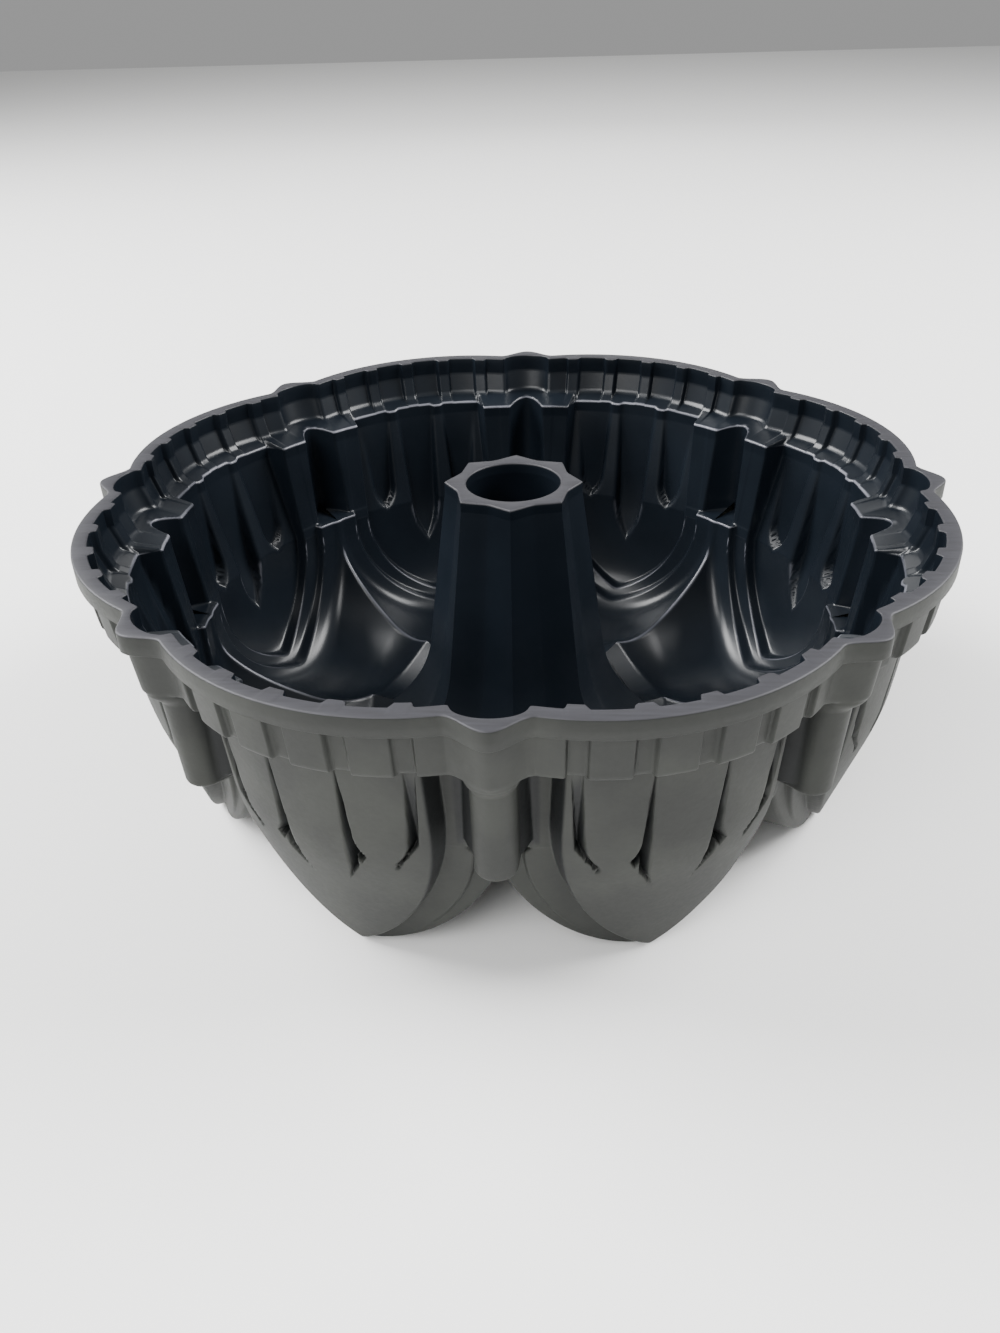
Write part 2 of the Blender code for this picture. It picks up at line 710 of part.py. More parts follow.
def make_collar():
    """Return the star-shaped collar round the tube's mouth."""
    foot = TUBE_TOP_DEPTH + COLLAR_THICKNESS
    rings = [tube_ring(BORE_RADIUS, BORE_RADIUS, flat_depth(TUBE_TOP_DEPTH)),
             tube_ring(STAR_TIP_RADIUS, STAR_VALLEY_RADIUS, flat_depth(TUBE_TOP_DEPTH)),
             tube_ring(STAR_TIP_RADIUS, STAR_VALLEY_RADIUS, flat_depth(foot)),
             tube_ring(BORE_RADIUS, BORE_RADIUS, flat_depth(foot))]
    return skin("tube_collar", rings, closed=True)


def main():
    """Build the pan."""
    clear_scene()
    ground = make_material("ground_aluminium", GROUND_COLOUR, 0.45, 0.6)
    painted = make_material("painted_casting", PAINT_COLOUR, 0.6, 0.1)
    lined = make_material("non_stick_lining", LINING_COLOUR, 0.25, 0.0)

    add_object("rim_flange", make_rim(), ground)
    add_object("pleated_band", make_band(), painted)
    add_object("centre_tube", make_tube(), lined)
    add_object("tube_collar", make_collar(), ground)
    bay = make_bay()
    column = make_column()
    for index in range(BAYS):
        item = add_object(f"bay_{index + 1}", bay, painted)
        item.rotation_euler.z = math.radians(bay_azimuth(index))
        item = add_object(f"column_{index + 1}", column, painted)
        item.rotation_euler.z = math.radians(index * PITCH)


main()
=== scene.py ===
"""Fluted tube pan: a cast aluminium ring mould, matt grey outside and glossy non-stick inside.

Sizes are in millimetres until a mesh is made. Depths are measured down from the rim's ground top
face. In a bay's own frame x runs across the bay, v runs outwards along its centre line and d is
the depth. The pan's wall is found as the zero of two signed gaps, one for the hollow inside and
one for the outer envelope, whose joints are rounded as a casting's are.
"""

import logging
import math
from dataclasses import dataclass, field
from enum import Enum
from typing import Callable

import bpy
import numpy as np
from mathutils import Matrix

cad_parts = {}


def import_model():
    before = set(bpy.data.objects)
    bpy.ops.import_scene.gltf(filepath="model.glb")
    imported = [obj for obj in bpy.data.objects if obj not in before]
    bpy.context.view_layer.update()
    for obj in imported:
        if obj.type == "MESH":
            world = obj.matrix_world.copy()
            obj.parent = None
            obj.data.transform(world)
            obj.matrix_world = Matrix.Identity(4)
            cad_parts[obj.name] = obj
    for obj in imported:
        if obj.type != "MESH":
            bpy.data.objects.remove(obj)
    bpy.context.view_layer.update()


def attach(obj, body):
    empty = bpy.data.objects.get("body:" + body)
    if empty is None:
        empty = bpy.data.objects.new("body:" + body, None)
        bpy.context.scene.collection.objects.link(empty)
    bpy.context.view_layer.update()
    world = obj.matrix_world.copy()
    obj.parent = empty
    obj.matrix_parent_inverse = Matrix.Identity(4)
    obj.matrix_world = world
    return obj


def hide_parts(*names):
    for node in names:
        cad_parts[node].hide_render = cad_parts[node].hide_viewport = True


MM = 0.001
LOG = logging.getLogger("fluted_tube_pan")

# Depths that several forms share: the foot of the band, and the spring of the arches
BAND_FOOT = 18.5
SPRING = 50.0
# A ray steps on by this share of the gap, so that it never steps past the surface
STRIDE = 0.85
# Steps in which the density of a grid's lines is summed
FINE_STEPS = 2400
# Half the distance over which a surface's slope is taken
DIFFERENCE_STEP = 0.06
# Turns of the points round a broken edge, from the wall's side to its top
EDGE_TURNS = np.radians(np.array([0.0, 30.0, 60.0, 90.0]))
# Faces of the turned rings that meet at more than this have a crease between them
CREASE_ANGLE = math.radians(50.0)
# The tube is smooth enough with every third of the wall's columns
TUBE_STRIDE = 3
# Keeps a division away from nothing
TINY = 1e-6

Gap = Callable[[np.ndarray, np.ndarray, np.ndarray], np.ndarray]


class Mark(Enum):
    """The shares stored with each point of a casting: painted shade on the paint, and edge wear
    with painted highlight on the lining.
    """

    PAINTED_SHADE = "slot"
    EDGE_WEAR_AND_HIGHLIGHT = "edge"


class Face(Enum):
    """The finishes that one casting shows, in the order of its material slots."""

    LINING = 0
    PAINT = 1
    GROUND = 2


def linear_colour(code: str) -> tuple[float, float, float, float]:
    """Turn an sRGB hex colour into linear RGBA.

    Args:
        code: Six hex digits.

    Returns:
        Linear red, green, blue and an alpha of 1.
    """
    values = [int(code[start:start + 2], 16) / 255.0 for start in (0, 2, 4)]
    linear = [v / 12.92 if v <= 0.04045 else ((v + 0.055) / 1.055) ** 2.4 for v in values]
    return (*linear, 1.0)


def blend(low: np.ndarray, high: np.ndarray, share: np.ndarray) -> np.ndarray:
    """Return the value a share of the way from low to high."""
    return low + (high - low) * share


def smooth_step(value: np.ndarray) -> np.ndarray:
    """Return 3t^2 - 2t^3 of a value held between 0 and 1."""
    held = np.clip(value, 0.0, 1.0)
    return held * held * (3.0 - 2.0 * held)


def rising(value: np.ndarray, span: tuple[float, float]) -> np.ndarray:
    """Return a smooth step that starts at one end of a span and is whole at the other."""
    start, end = span
    return smooth_step((value - start) / (end - start))


def soft_min(first: np.ndarray, second: np.ndarray, radius: float) -> np.ndarray:
    """Return the lesser of two gaps, with the corner where they cross rounded.

    The result is the plain blend of both less radius * h * (1 - h), where h runs from 0 to 1 as
    the first falls below the second within one radius.

    Args:
        first: One gap.
        second: The other gap.
        radius: How far from the crossing the rounding reaches, in millimetres.

    Returns:
        The rounded lesser gap.
    """
    share = np.clip(0.5 + 0.5 * (second - first) / radius, 0.0, 1.0)
    return blend(second, first, share) - radius * share * (1.0 - share)


def soft_max(first: np.ndarray, second: np.ndarray, radius: float) -> np.ndarray:
    """Return the greater of two gaps, with the corner where they cross rounded."""
    return -soft_min(-first, -second, radius)


def turn_about_axis(degrees: float) -> np.ndarray:
    """Return the matrix that turns vectors about the pan's axis, anticlockwise from above."""
    angle = math.radians(degrees)
    return np.array([[math.cos(angle), -math.sin(angle), 0.0],
                     [math.sin(angle), math.cos(angle), 0.0], [0.0, 0.0, 1.0]])


def unit(vector: np.ndarray) -> np.ndarray:
    """Return a vector at a length of 1."""
    return vector / np.linalg.norm(vector)


def add_node(tree: bpy.types.NodeTree, kind: str, links: dict | None = None,
             **settings: object) -> bpy.types.Node:
    """Add a shader node with its settings, socket values and links.

    Args:
        tree: The node tree.
        kind: The node's type name.
        links: Socket name or index to an output socket or a constant.
        settings: Attributes of the node.

    Returns:
        The new node.
    """
    node = tree.nodes.new(kind)
    for name, value in settings.items():
        setattr(node, name, value)
    for name, value in (links or {}).items():
        if isinstance(value, bpy.types.NodeSocket):
            tree.links.new(value, node.inputs[name])
        else:
            node.inputs[name].default_value = value
    return node


def start_material(name: str) -> tuple[bpy.types.Material, bpy.types.NodeTree, bpy.types.Node]:
    """Make an empty Principled material.

    Args:
        name: The material's name.

    Returns:
        The material, its node tree and its Principled shader.
    """
    material = bpy.data.materials.new(name)
    material.use_nodes = True
    tree = material.node_tree
    return material, tree, tree.nodes["Principled BSDF"]


def mix_colours(tree: bpy.types.NodeTree, share: bpy.types.NodeSocket, base: bpy.types.NodeSocket,
                code: str) -> bpy.types.NodeSocket:
    """Mix a plain colour over another by a share.

    Args:
        tree: The node tree.
        share: How much of the plain colour shows.
        base: The colour underneath.
        code: The plain colour's hex code.

    Returns:
        The mixed colour's socket.
    """
    mixed = add_node(tree, "ShaderNodeMixRGB", {
        "Fac": share, "Color1": base, "Color2": linear_colour(code)})
    return mixed.outputs["Color"]


def fill_ramp(node: bpy.types.Node, stops: tuple[tuple[float, str], ...]) -> None:
    """Set the stops of a colour ramp.

    Args:
        node: The ramp node.
        stops: Position and hex colour of each stop.
    """
    elements = node.color_ramp.elements
    while len(elements) < len(stops):
        elements.new(1.0)
    for element, (place, code) in zip(elements, stops):
        element.position = place
        element.color = linear_colour(code)


# Finishes


@dataclass(frozen=True)
class SprayedPaint:
    """Heat-proof silicone paint sprayed on rough cast aluminium, which dries matt and even."""

    shade: str = "1c1e1b"
    light: str = "262824"
    # The coat's two shades drift over about 22 mm, as a hand-held spray leaves them
    cloud_mm: float = 22.0
    cloud_detail: float = 3.0
    cloud_stops: tuple[float, float] = (0.4, 0.6)
    # Painted shade: the slots, the arches' sideways steps and the recesses beside the columns are
    # darkened to this colour, where shade falls
    painted_shade: str = "0b0e0f"
    roughness: float = 0.6
    roughness_spread: float = 0.05
    refraction: float = 1.4
    # The cast skin under the paint has a grain of about 1 mm, drawn at 1.4 mm so that it shows
    grain_mm: float = 1.4
    grain_detail: float = 2.0
    bump_mm: float = 0.05
    bump_strength: float = 0.8

    def make(self) -> bpy.types.Material:
        """Make the matt coat, which shows the casting's grain, with painted shade in the slots,
        sideways steps and column recesses.

        Returns:
            The material.
        """
        material, tree, shader = start_material("sprayed_silicone_paint")
        place = add_node(tree, "ShaderNodeTexCoord").outputs["Object"]
        cloud = add_node(tree, "ShaderNodeTexNoise", {
            "Vector": place, "Scale": 1.0 / (self.cloud_mm * MM), "Detail": self.cloud_detail})
        ramp = add_node(tree, "ShaderNodeValToRGB", {"Fac": cloud.outputs["Fac"]})
        fill_ramp(ramp, tuple(zip(self.cloud_stops, (self.shade, self.light))))
        grain = add_node(tree, "ShaderNodeTexNoise", {
            "Vector": place, "Scale": 1.0 / (self.grain_mm * MM), "Detail": self.grain_detail})
        bump = add_node(tree, "ShaderNodeBump", {
            "Height": grain.outputs["Fac"], "Distance": self.bump_mm * MM,
            "Strength": self.bump_strength})
        rough = add_node(tree, "ShaderNodeMapRange", {
            "Value": grain.outputs["Fac"], "To Min": self.roughness - self.roughness_spread,
            "To Max": self.roughness + self.roughness_spread})
        # Painted shade: this share darkens the coat in the slots, on the sideways steps and in the
        # column recesses
        slot = add_node(tree, "ShaderNodeAttribute", attribute_name=Mark.PAINTED_SHADE.value)
        colour = mix_colours(tree, slot.outputs["Fac"], ramp.outputs["Color"], self.painted_shade)
        tree.links.new(colour, shader.inputs["Base Color"])
        tree.links.new(rough.outputs["Result"], shader.inputs["Roughness"])
        tree.links.new(bump.outputs["Normal"], shader.inputs["Normal"])
        shader.inputs["Metallic"].default_value = 0.0
        shader.inputs["IOR"].default_value = self.refraction
        return material


@dataclass(frozen=True)
class NonStickLining:
    """Dark non-stick coat baked on the inside: smooth and glossy, with soft wide highlights."""

    deep: str = "0d1218"
    worn: str = "12181f"
    # Use dulls and lightens it in patches of about 35 mm
    cloud_mm: float = 35.0
    cloud_detail: float = 4.0
    cloud_stops: tuple[float, float] = (0.35, 0.7)
    # Its raised edges are rubbed bright, and more so in the worn patches; the same light colour
    # also serves as painted highlight along those edges
    edge: str = "85868f"
    edge_wear_and_highlight_share: float = 0.75
    edge_wear_and_highlight_least: float = 0.15
    edge_patch: tuple[float, float] = (0.35, 0.6)
    roughness: float = 0.3
    roughness_less: float = 0.06
    roughness_more: float = 0.08
    refraction: float = 1.42
    # The baked coat has an orange peel of about 3 mm, which breaks up its highlights
    peel_mm: float = 3.0
    peel_detail: float = 2.0
    bump_mm: float = 0.02
    bump_strength: float = 0.6

    def make(self) -> bpy.types.Material:
        """Make the glossy coat, with worn patches and rubbed edges that also carry painted
        highlight.

        Returns:
            The material.
        """
        material, tree, shader = start_material("baked_non_stick_coat")
        place = add_node(tree, "ShaderNodeTexCoord").outputs["Object"]
        cloud = add_node(tree, "ShaderNodeTexNoise", {
            "Vector": place, "Scale": 1.0 / (self.cloud_mm * MM), "Detail": self.cloud_detail})
        ramp = add_node(tree, "ShaderNodeValToRGB", {"Fac": cloud.outputs["Fac"]})
        fill_ramp(ramp, tuple(zip(self.cloud_stops, (self.deep, self.worn))))
        peel = add_node(tree, "ShaderNodeTexNoise", {
            "Vector": place, "Scale": 1.0 / (self.peel_mm * MM), "Detail": self.peel_detail})
        bump = add_node(tree, "ShaderNodeBump", {
            "Height": peel.outputs["Fac"], "Distance": self.bump_mm * MM,
            "Strength": self.bump_strength})
        rough = add_node(tree, "ShaderNodeMapRange", {
            "Value": cloud.outputs["Fac"], "To Min": self.roughness - self.roughness_less,
            "To Max": self.roughness + self.roughness_more})
        # Edge wear and painted highlight: this share lightens the lining along its raised edges
        mark = add_node(tree, "ShaderNodeAttribute", attribute_name=Mark.EDGE_WEAR_AND_HIGHLIGHT.value)
        clean, rubbed_and_highlit = self.edge_patch
        patch = add_node(tree, "ShaderNodeMapRange", {
            "Value": cloud.outputs["Fac"], "From Min": clean, "From Max": rubbed_and_highlit,
            "To Min": self.edge_wear_and_highlight_least * self.edge_wear_and_highlight_share, "To Max": self.edge_wear_and_highlight_share})
        share = add_node(tree, "ShaderNodeMath", {0: mark.outputs["Fac"],
                                                  1: patch.outputs["Result"]},
                         operation="MULTIPLY")
        colour = mix_colours(tree, share.outputs["Value"], ramp.outputs["Color"], self.edge)
        tree.links.new(colour, shader.inputs["Base Color"])
        tree.links.new(rough.outputs["Result"], shader.inputs["Roughness"])
        tree.links.new(bump.outputs["Normal"], shader.inputs["Normal"])
        shader.inputs["Metallic"].default_value = 0.0
        shader.inputs["IOR"].default_value = self.refraction
        return material


@dataclass(frozen=True)
class GroundAluminium:
    """Cast aluminium ground flat after coating: bare, dull and a little lighter than the paint."""

    shade: str = "2a2a2e"
    light: str = "333338"
    roughness: float = 0.55
    metallic: float = 0.2
    # Belt grinding leaves scratches about 0.3 mm apart, drawn at 0.8 mm so that they show
    scratch_mm: float = 0.8
    scratch_detail: float = 3.0
    scratch_turn: float = 35.0
    scratch_stretch: float = 0.08
    scratch_stops: tuple[float, float] = (0.3, 0.7)
    bump_mm: float = 0.012
    bump_strength: float = 0.6

    def make(self) -> bpy.types.Material:
        """Make the bare metal, whose long scratches all run one way.

        Returns:
            The material.
        """
        material, tree, shader = start_material("belt_ground_aluminium")
        place = add_node(tree, "ShaderNodeTexCoord").outputs["Object"]
        stretched = add_node(tree, "ShaderNodeMapping", {
            "Vector": place, "Rotation": (0.0, 0.0, math.radians(self.scratch_turn)),
            "Scale": (self.scratch_stretch, 1.0, 1.0)})
        scratch = add_node(tree, "ShaderNodeTexNoise", {
            "Vector": stretched.outputs["Vector"], "Scale": 1.0 / (self.scratch_mm * MM),
            "Detail": self.scratch_detail})
        ramp = add_node(tree, "ShaderNodeValToRGB", {"Fac": scratch.outputs["Fac"]})
        fill_ramp(ramp, tuple(zip(self.scratch_stops, (self.shade, self.light))))
        bump = add_node(tree, "ShaderNodeBump", {
            "Height": scratch.outputs["Fac"], "Distance": self.bump_mm * MM,
            "Strength": self.bump_strength})
        tree.links.new(ramp.outputs["Color"], shader.inputs["Base Color"])
        tree.links.new(bump.outputs["Normal"], shader.inputs["Normal"])
        shader.inputs["Metallic"].default_value = self.metallic
        shader.inputs["Roughness"].default_value = self.roughness
        return material


@dataclass(frozen=True)
class PaperSweep:
    """Plain white paper under the pan, quite matt, which takes a soft shadow."""

    colour: str = "f9f9f8"
    roughness: float = 0.9

    def make(self) -> bpy.types.Material:
        """Make the paper, one plain colour all over.

        Returns:
            The material.
        """
        material, _, shader = start_material("white_paper")
        shader.inputs["Base Color"].default_value = linear_colour(self.colour)
        shader.inputs["Roughness"].default_value = self.roughness
        return material


@dataclass(frozen=True)
class Finishes:
    """The materials of the pan, in the order of its slots."""

    lining: NonStickLining = field(default_factory=NonStickLining)
    paint: SprayedPaint = field(default_factory=SprayedPaint)
    ground: GroundAluminium = field(default_factory=GroundAluminium)

    def make(self) -> list[bpy.types.Material]:
        """Return the materials, one for each member of Face."""
        return [self.lining.make(), self.paint.make(), self.ground.make()]


# The pan's shapes, as signed gaps that are positive in the hollow or inside the envelope


@dataclass(frozen=True)
class Layout:
    """How the pan is divided round its axis, and its height."""

    bays: int = 8
    height: float = 94.0

    @property
    def half_pitch(self) -> float:
        """Half the angle of one bay, in degrees."""
        return 180.0 / self.bays

    def azimuth(self, index: int) -> float:
        """Return the azimuth of a bay's centre line, in degrees."""
        return (2 * index + 1) * self.half_pitch

    def mirrored(self, x: np.ndarray, v: np.ndarray) -> tuple[np.ndarray, np.ndarray]:
        """Reflect points across the nearer column's plane.

        Args:
            x: Distance across the bay.
            v: Distance along its centre line.

        Returns:
            The reflected x and v.
        """
        radius = np.hypot(x, v)
        offset = 2.0 * math.radians(self.half_pitch) - np.abs(np.arctan2(x, v))
        return radius * np.sin(offset), radius * np.cos(offset)

    def column_frame(self, x: np.ndarray, v: np.ndarray) -> tuple[np.ndarray, np.ndarray]:
        """Place points in the frame of the nearer column.

        Args:
            x: Distance across the bay.
            v: Distance along its centre line.

        Returns:
            The distance from the column's middle plane, and the distance outwards along it.
        """
        angle = math.radians(self.half_pitch)
        aside = np.abs(v * math.sin(angle) - np.abs(x) * math.cos(angle))
        return aside, v * math.cos(angle) + np.abs(x) * math.sin(angle)


@dataclass(frozen=True)
class RimOutline:
    """The rim's plan: eight bowed sides, teeth inside them, and a niche at each column."""

    layout: Layout
    radius: float = 125.0
    bow: float = 0.0295
    bow_angle: float = 15.0
    width: float = 4.2
    tooth_step: float = 6.8
    teeth_aside: int = 2
    tooth_half: float = 0.85
    tooth_flank: float = 0.45
    tooth_depth: float = 1.8
    neck_angle: float = 4.7
    crest_radius: float = 125.0
    niche_angle: float = 4.1
    niche_radius: float = 120.0
    shoulder_radius: float = 115.8
    shoulder_blend: float = 0.8

    def bowed(self, offset: np.ndarray) -> np.ndarray:
        """Return the share of the radius left at an offset: 1 less a parabola."""
        return 1.0 - self.bow * (offset / self.bow_angle) ** 2

    def tooth(self, offset: np.ndarray) -> np.ndarray:
        """Return how far the nearest tooth stands out, flat on top with a smooth flank.

        Args:
            offset: Angle from the bay's centre line, in degrees.

        Returns:
            The share of the tooth's depth at each offset, from 0 to 1.
        """
        place = np.abs(offset)
        nearest = np.clip(np.round(place / self.tooth_step), 0, self.teeth_aside) * self.tooth_step
        return smooth_step(1.0 - (np.abs(place - nearest) - self.tooth_half) / self.tooth_flank)

    def outer(self, offset: np.ndarray) -> np.ndarray:
        """Return the outer radius: a bowed side that swings out to the column's crest.

        Args:
            offset: Angle from the bay's centre line, in degrees.

        Returns:
            The radius at each offset.
        """
        half = self.layout.half_pitch
        neck = half - self.neck_angle
        share = smooth_step((np.abs(offset) - neck) / self.neck_angle)
        dip = self.radius * self.bowed(np.minimum(np.abs(offset), neck))
        return blend(dip, self.crest_radius, share)

    def inner(self, offset: np.ndarray) -> np.ndarray:
        """Return the inner radius: a toothed side, then half of the column's round niche.

        Args:
            offset: Angle from the bay's centre line, in degrees.

        Returns:
            The radius at each offset.
        """
        half = self.layout.half_pitch
        plain = (self.radius - self.width) * self.bowed(offset)
        plain = plain - self.tooth_depth * self.tooth(offset)
        share = np.clip((half - np.abs(offset)) / self.niche_angle, 0.0, 1.0)
        niche = blend(self.shoulder_radius, self.niche_radius, np.sqrt(1.0 - share * share))
        corner = half - self.niche_angle
        return blend(plain, niche,
                     rising(np.abs(offset), (corner - self.shoulder_blend, corner)))


@dataclass(frozen=True)
class Band:
    """The pleated band under the rim, and the ledge inside that it stands on."""

    rim: RimOutline
    top: float = 5.5
    foot: float = BAND_FOOT
    setback: float = 1.6
    draft_outside: float = 1.3
    draft_inside: float = 2.4
    pleat_depth: float = 1.5
    slope_start: float = 12.8
    slope_least: float = 1.0
    ledge: float = 15.0
    ledge_at_window: float = 111.8
    ledge_at_jamb: float = 104.6
    window_angle: float = 12.9
    jamb_angle: float = 13.6

    def outside(self, offset: np.ndarray, depth: np.ndarray) -> np.ndarray:
        """Return the band's outer radius, grooved behind each tooth.

        Args:
            offset: Angle from the bay's centre line, in degrees.
            depth: Depth below the rim's top.

        Returns:
            The radius at each point.
        """
        share = np.clip((depth - self.top) / (self.foot - self.top), 0.0, 1.0)
        plain = self.rim.outer(offset) - self.setback - self.draft_outside * share
        return plain - self.pleat_depth * self.rim.tooth(offset)

    def inside(self, offset: np.ndarray, depth: np.ndarray) -> np.ndarray:
        """Return the band's inner radius, drafted down to the ledge's slope.

        Args:
            offset: Angle from the bay's centre line, in degrees.
            depth: Depth below the rim's top.

        Returns:
            The radius at each point.
        """
        share = np.clip((depth - self.top) / (self.slope_start - self.top), 0.0, 1.0)
        return self.rim.inner(offset) - self.draft_inside * share

    def ledge_depth(self, radius: np.ndarray, offset: np.ndarray) -> np.ndarray:
        """Return the ledge's depth, which falls from the band to the ledge's inner edge.

        Args:
            radius: Distance from the pan's axis.
            offset: Angle from the bay's centre line, in degrees.

        Returns:
            The ledge's depth at each point.
        """
        share = rising(np.abs(offset), (self.jamb_angle, self.window_angle))
        edge = blend(self.ledge_at_jamb, self.ledge_at_window, share)
        wall = self.rim.inner(offset) - self.draft_inside
        slope = np.clip((radius - edge) / np.maximum(wall - edge, self.slope_least), 0.0, 1.0)
        return blend(self.ledge, self.slope_start, slope)


@dataclass(frozen=True)
class Arches:
    """Three telescoping pointed arches, widest and innermost first, with a face at each end.

    Inside, each face bends inwards below the spring. Outside, each face is two cones that blend
    there, and the arches' points all meet at the keel.
    """

    spring: float = SPRING
    ledge: float = BAND_FOOT
    half_widths: tuple[float, ...] = (38.0, 30.5, 24.8)
    apexes: tuple[float, ...] = (90.7, 87.2, 85.0)
    top_radii: tuple[float, ...] = (99.4, 104.6, 111.8)
    spring_radii: tuple[float, ...] = (99.0, 101.2, 104.6)
    falls: tuple[float, ...] = (20.0, 12.0, 8.5)
    keel_softness: float = 1.2
    outside_springs: tuple[float, ...] = (42.0, SPRING, 40.0)
    outside_halves: tuple[float, ...] = (41.5, 33.8, 28.3)
    outside_apexes: tuple[float, ...] = (94.6, 94.0, 93.6)
    outside_radii: tuple[float, ...] = (101.6, 104.0, 114.2)
    outside_drafts: tuple[float, ...] = (0.04, 0.12, 0.296)
    outside_draft_above: float = 0.09
    cone_blend: float = 1.6
    outside_softness: float = 0.5
    leg_inset: float = 2.2
    leg_foot: float = SPRING
    leg_blend: float = 3.0
    lobe_inner: float = 42.0
    lobe_level: float = 64.0
    lobe_rise: float = 10.0

    def circle(self, order: int, outside: bool) -> tuple[float, float, float]:
        """Work out the two arcs of an arch's point.

        Args:
            order: Which arch.
            outside: True for the painted side.

        Returns:
            The arch's spring, its arcs' radius and how far their centres pass its middle.
        """
        spring = self.outside_springs[order] if outside else self.spring
        rise = (self.outside_apexes if outside else self.apexes)[order] - spring
        half = (self.outside_halves if outside else self.half_widths)[order]
        radius = (rise * rise + half * half) / (2.0 * half)
        return spring, radius, radius - half

    def gap(self, order: int, x: np.ndarray, d: np.ndarray, outside: bool) -> np.ndarray:
        """Return the gap to an arch's curve: upright legs above the spring, two arcs below it.

        Args:
            order: Which arch.
            x: Distance across the bay.
            d: Depth.
            outside: True for the painted side.

        Returns:
            The distance inwards from the curve.
        """
        spring, radius, shift = self.circle(order, outside)
        softness = self.outside_softness if outside else self.keel_softness
        aside = np.sqrt(x * x + softness ** 2) + shift
        return radius - np.hypot(aside, np.maximum(d - spring, 0.0))

    def curve_depth(self, order: int, x: np.ndarray, outside: bool) -> np.ndarray:
        """Return the depth of an arch's curve at a distance across the bay."""
        spring, radius, shift = self.circle(order, outside)
        return spring + np.sqrt(np.maximum(radius * radius - (np.abs(x) + shift) ** 2, 0.0))

    def cone_radius(self, order: int, d: np.ndarray) -> np.ndarray:
        """Return the radius of an outside face: two cones that blend at the spring.

        Args:
            order: Which arch's end face.
            d: Depth.

        Returns:
            The radius at each depth.
        """
        draft = self.outside_drafts[order]
        less = min(draft, self.outside_draft_above)
        radius = self.outside_radii[order]
        return soft_min(radius - less * (d - self.spring), radius - draft * (d - self.spring),
                        self.cone_blend)

    def face_radius(self, order: int, d: np.ndarray, outside: bool) -> np.ndarray:
        """Return a face's radius at a depth.

        Inside, it is a straight draft and then a quarter of an ellipse.

        Args:
            order: Which arch's end face.
            d: Depth.
            outside: True for the painted side.

        Returns:
            The radius at each depth.
        """
        if outside:
            return self.cone_radius(order, d)
        share = np.clip((d - self.spring) / (self.apexes[order] - self.spring), 0.0, 1.0)
        bend = 1.0 - np.sqrt(1.0 - share * share)
        return self.upright_radius(order, d) - self.falls[order] * bend

    def upright_radius(self, order: int, d: np.ndarray) -> np.ndarray:
        """Return the drafted radius of an inside face above the spring."""
        share = np.clip((d - self.ledge) / (self.spring - self.ledge), 0.0, 1.0)
        return blend(self.top_radii[order], self.spring_radii[order], share)

    def face_gap(self, order: int, radius: np.ndarray, d: np.ndarray, outside: bool) -> np.ndarray:
        """Return the gap to a face: to its drafted line, or inside to the ellipse below the spring.

        The ellipse's gap is (1 - q) q over the length of the slope of q squared halved, where q is
        the point's share of the way from the ellipse's centre to its edge.

        Args:
            order: Which arch's end face.
            radius: Distance from the pan's axis.
            d: Depth.
            outside: True for the painted side.

        Returns:
            The distance inwards from the face.
        """
        if outside:
            return self.cone_radius(order, d) - radius
        fall = self.falls[order]
        drafted = self.upright_radius(order, d) - radius
        tall = self.apexes[order] - self.spring
        out = np.maximum(radius - (self.spring_radii[order] - fall), 0.0) / fall
        down = np.maximum(d - self.spring, 0.0) / tall
        share = np.maximum(np.hypot(out, down), TINY)
        slope = np.maximum(np.hypot(out / fall, down / tall), TINY)
        return np.where(d > self.spring, (1.0 - share) * share / slope, drafted)

    def lobe(self, x: np.ndarray, v: np.ndarray, d: np.ndarray, outside: bool,
             rounding: float) -> np.ndarray:
        """Return the gap to the widest arch, whose floor rises in a parabola towards the tube.

        Args:
            x: Distance across the bay.
            v: Distance along its centre line.
            d: Depth.
            outside: True for the painted side.
            rounding: Reach of the fillet between floor and face.

        Returns:
            The distance inwards from the lobe's surface.
        """
        share = np.maximum(self.lobe_level - v, 0.0) / (self.lobe_level - self.lobe_inner)
        sunk = d + self.lobe_rise * share * share
        return soft_min(self.gap(0, x, sunk, outside),
                        self.face_gap(0, np.hypot(x, v), d, outside), rounding)

    def leg_gap(self, x: np.ndarray, d: np.ndarray) -> np.ndarray:
        """Return the gap to the middle arch outside, whose legs stand closer above its spring."""
        share = rising(d, (self.leg_foot + self.leg_blend, self.leg_foot))
        return self.gap(1, x, d, True) - self.leg_inset * share


@dataclass(frozen=True)
class Lancet:
    """One hollow bar of a window: upright sides that close in downwards, and a pointed end."""

    angle: float
    spring: float
    foot: float
    half_top: float
    half_spring: float

    def gap(self, x: np.ndarray, v: np.ndarray, d: np.ndarray, ledge: float) -> np.ndarray:
        """Return the gap to the bar's sides and to the two arcs of its end.

        Args:
            x: Distance across the bay.
            v: Distance along its centre line.
            d: Depth.
            ledge: Depth of the bar's top.

        Returns:
            The distance inwards from the bar's outline.
        """
        rise = self.foot - self.spring
        radius = (rise * rise + self.half_spring ** 2) / (2.0 * self.half_spring)
        aside = np.abs(np.hypot(x, v) * np.sin(np.arctan2(x, v) - math.radians(self.angle)))
        shift = radius - self.half_spring
        taper = (self.half_top - self.half_spring) / (self.spring - ledge)
        arc = radius - np.hypot(aside + shift, np.maximum(d - self.spring, 0.0))
        return arc + taper * np.maximum(self.spring - d, 0.0)


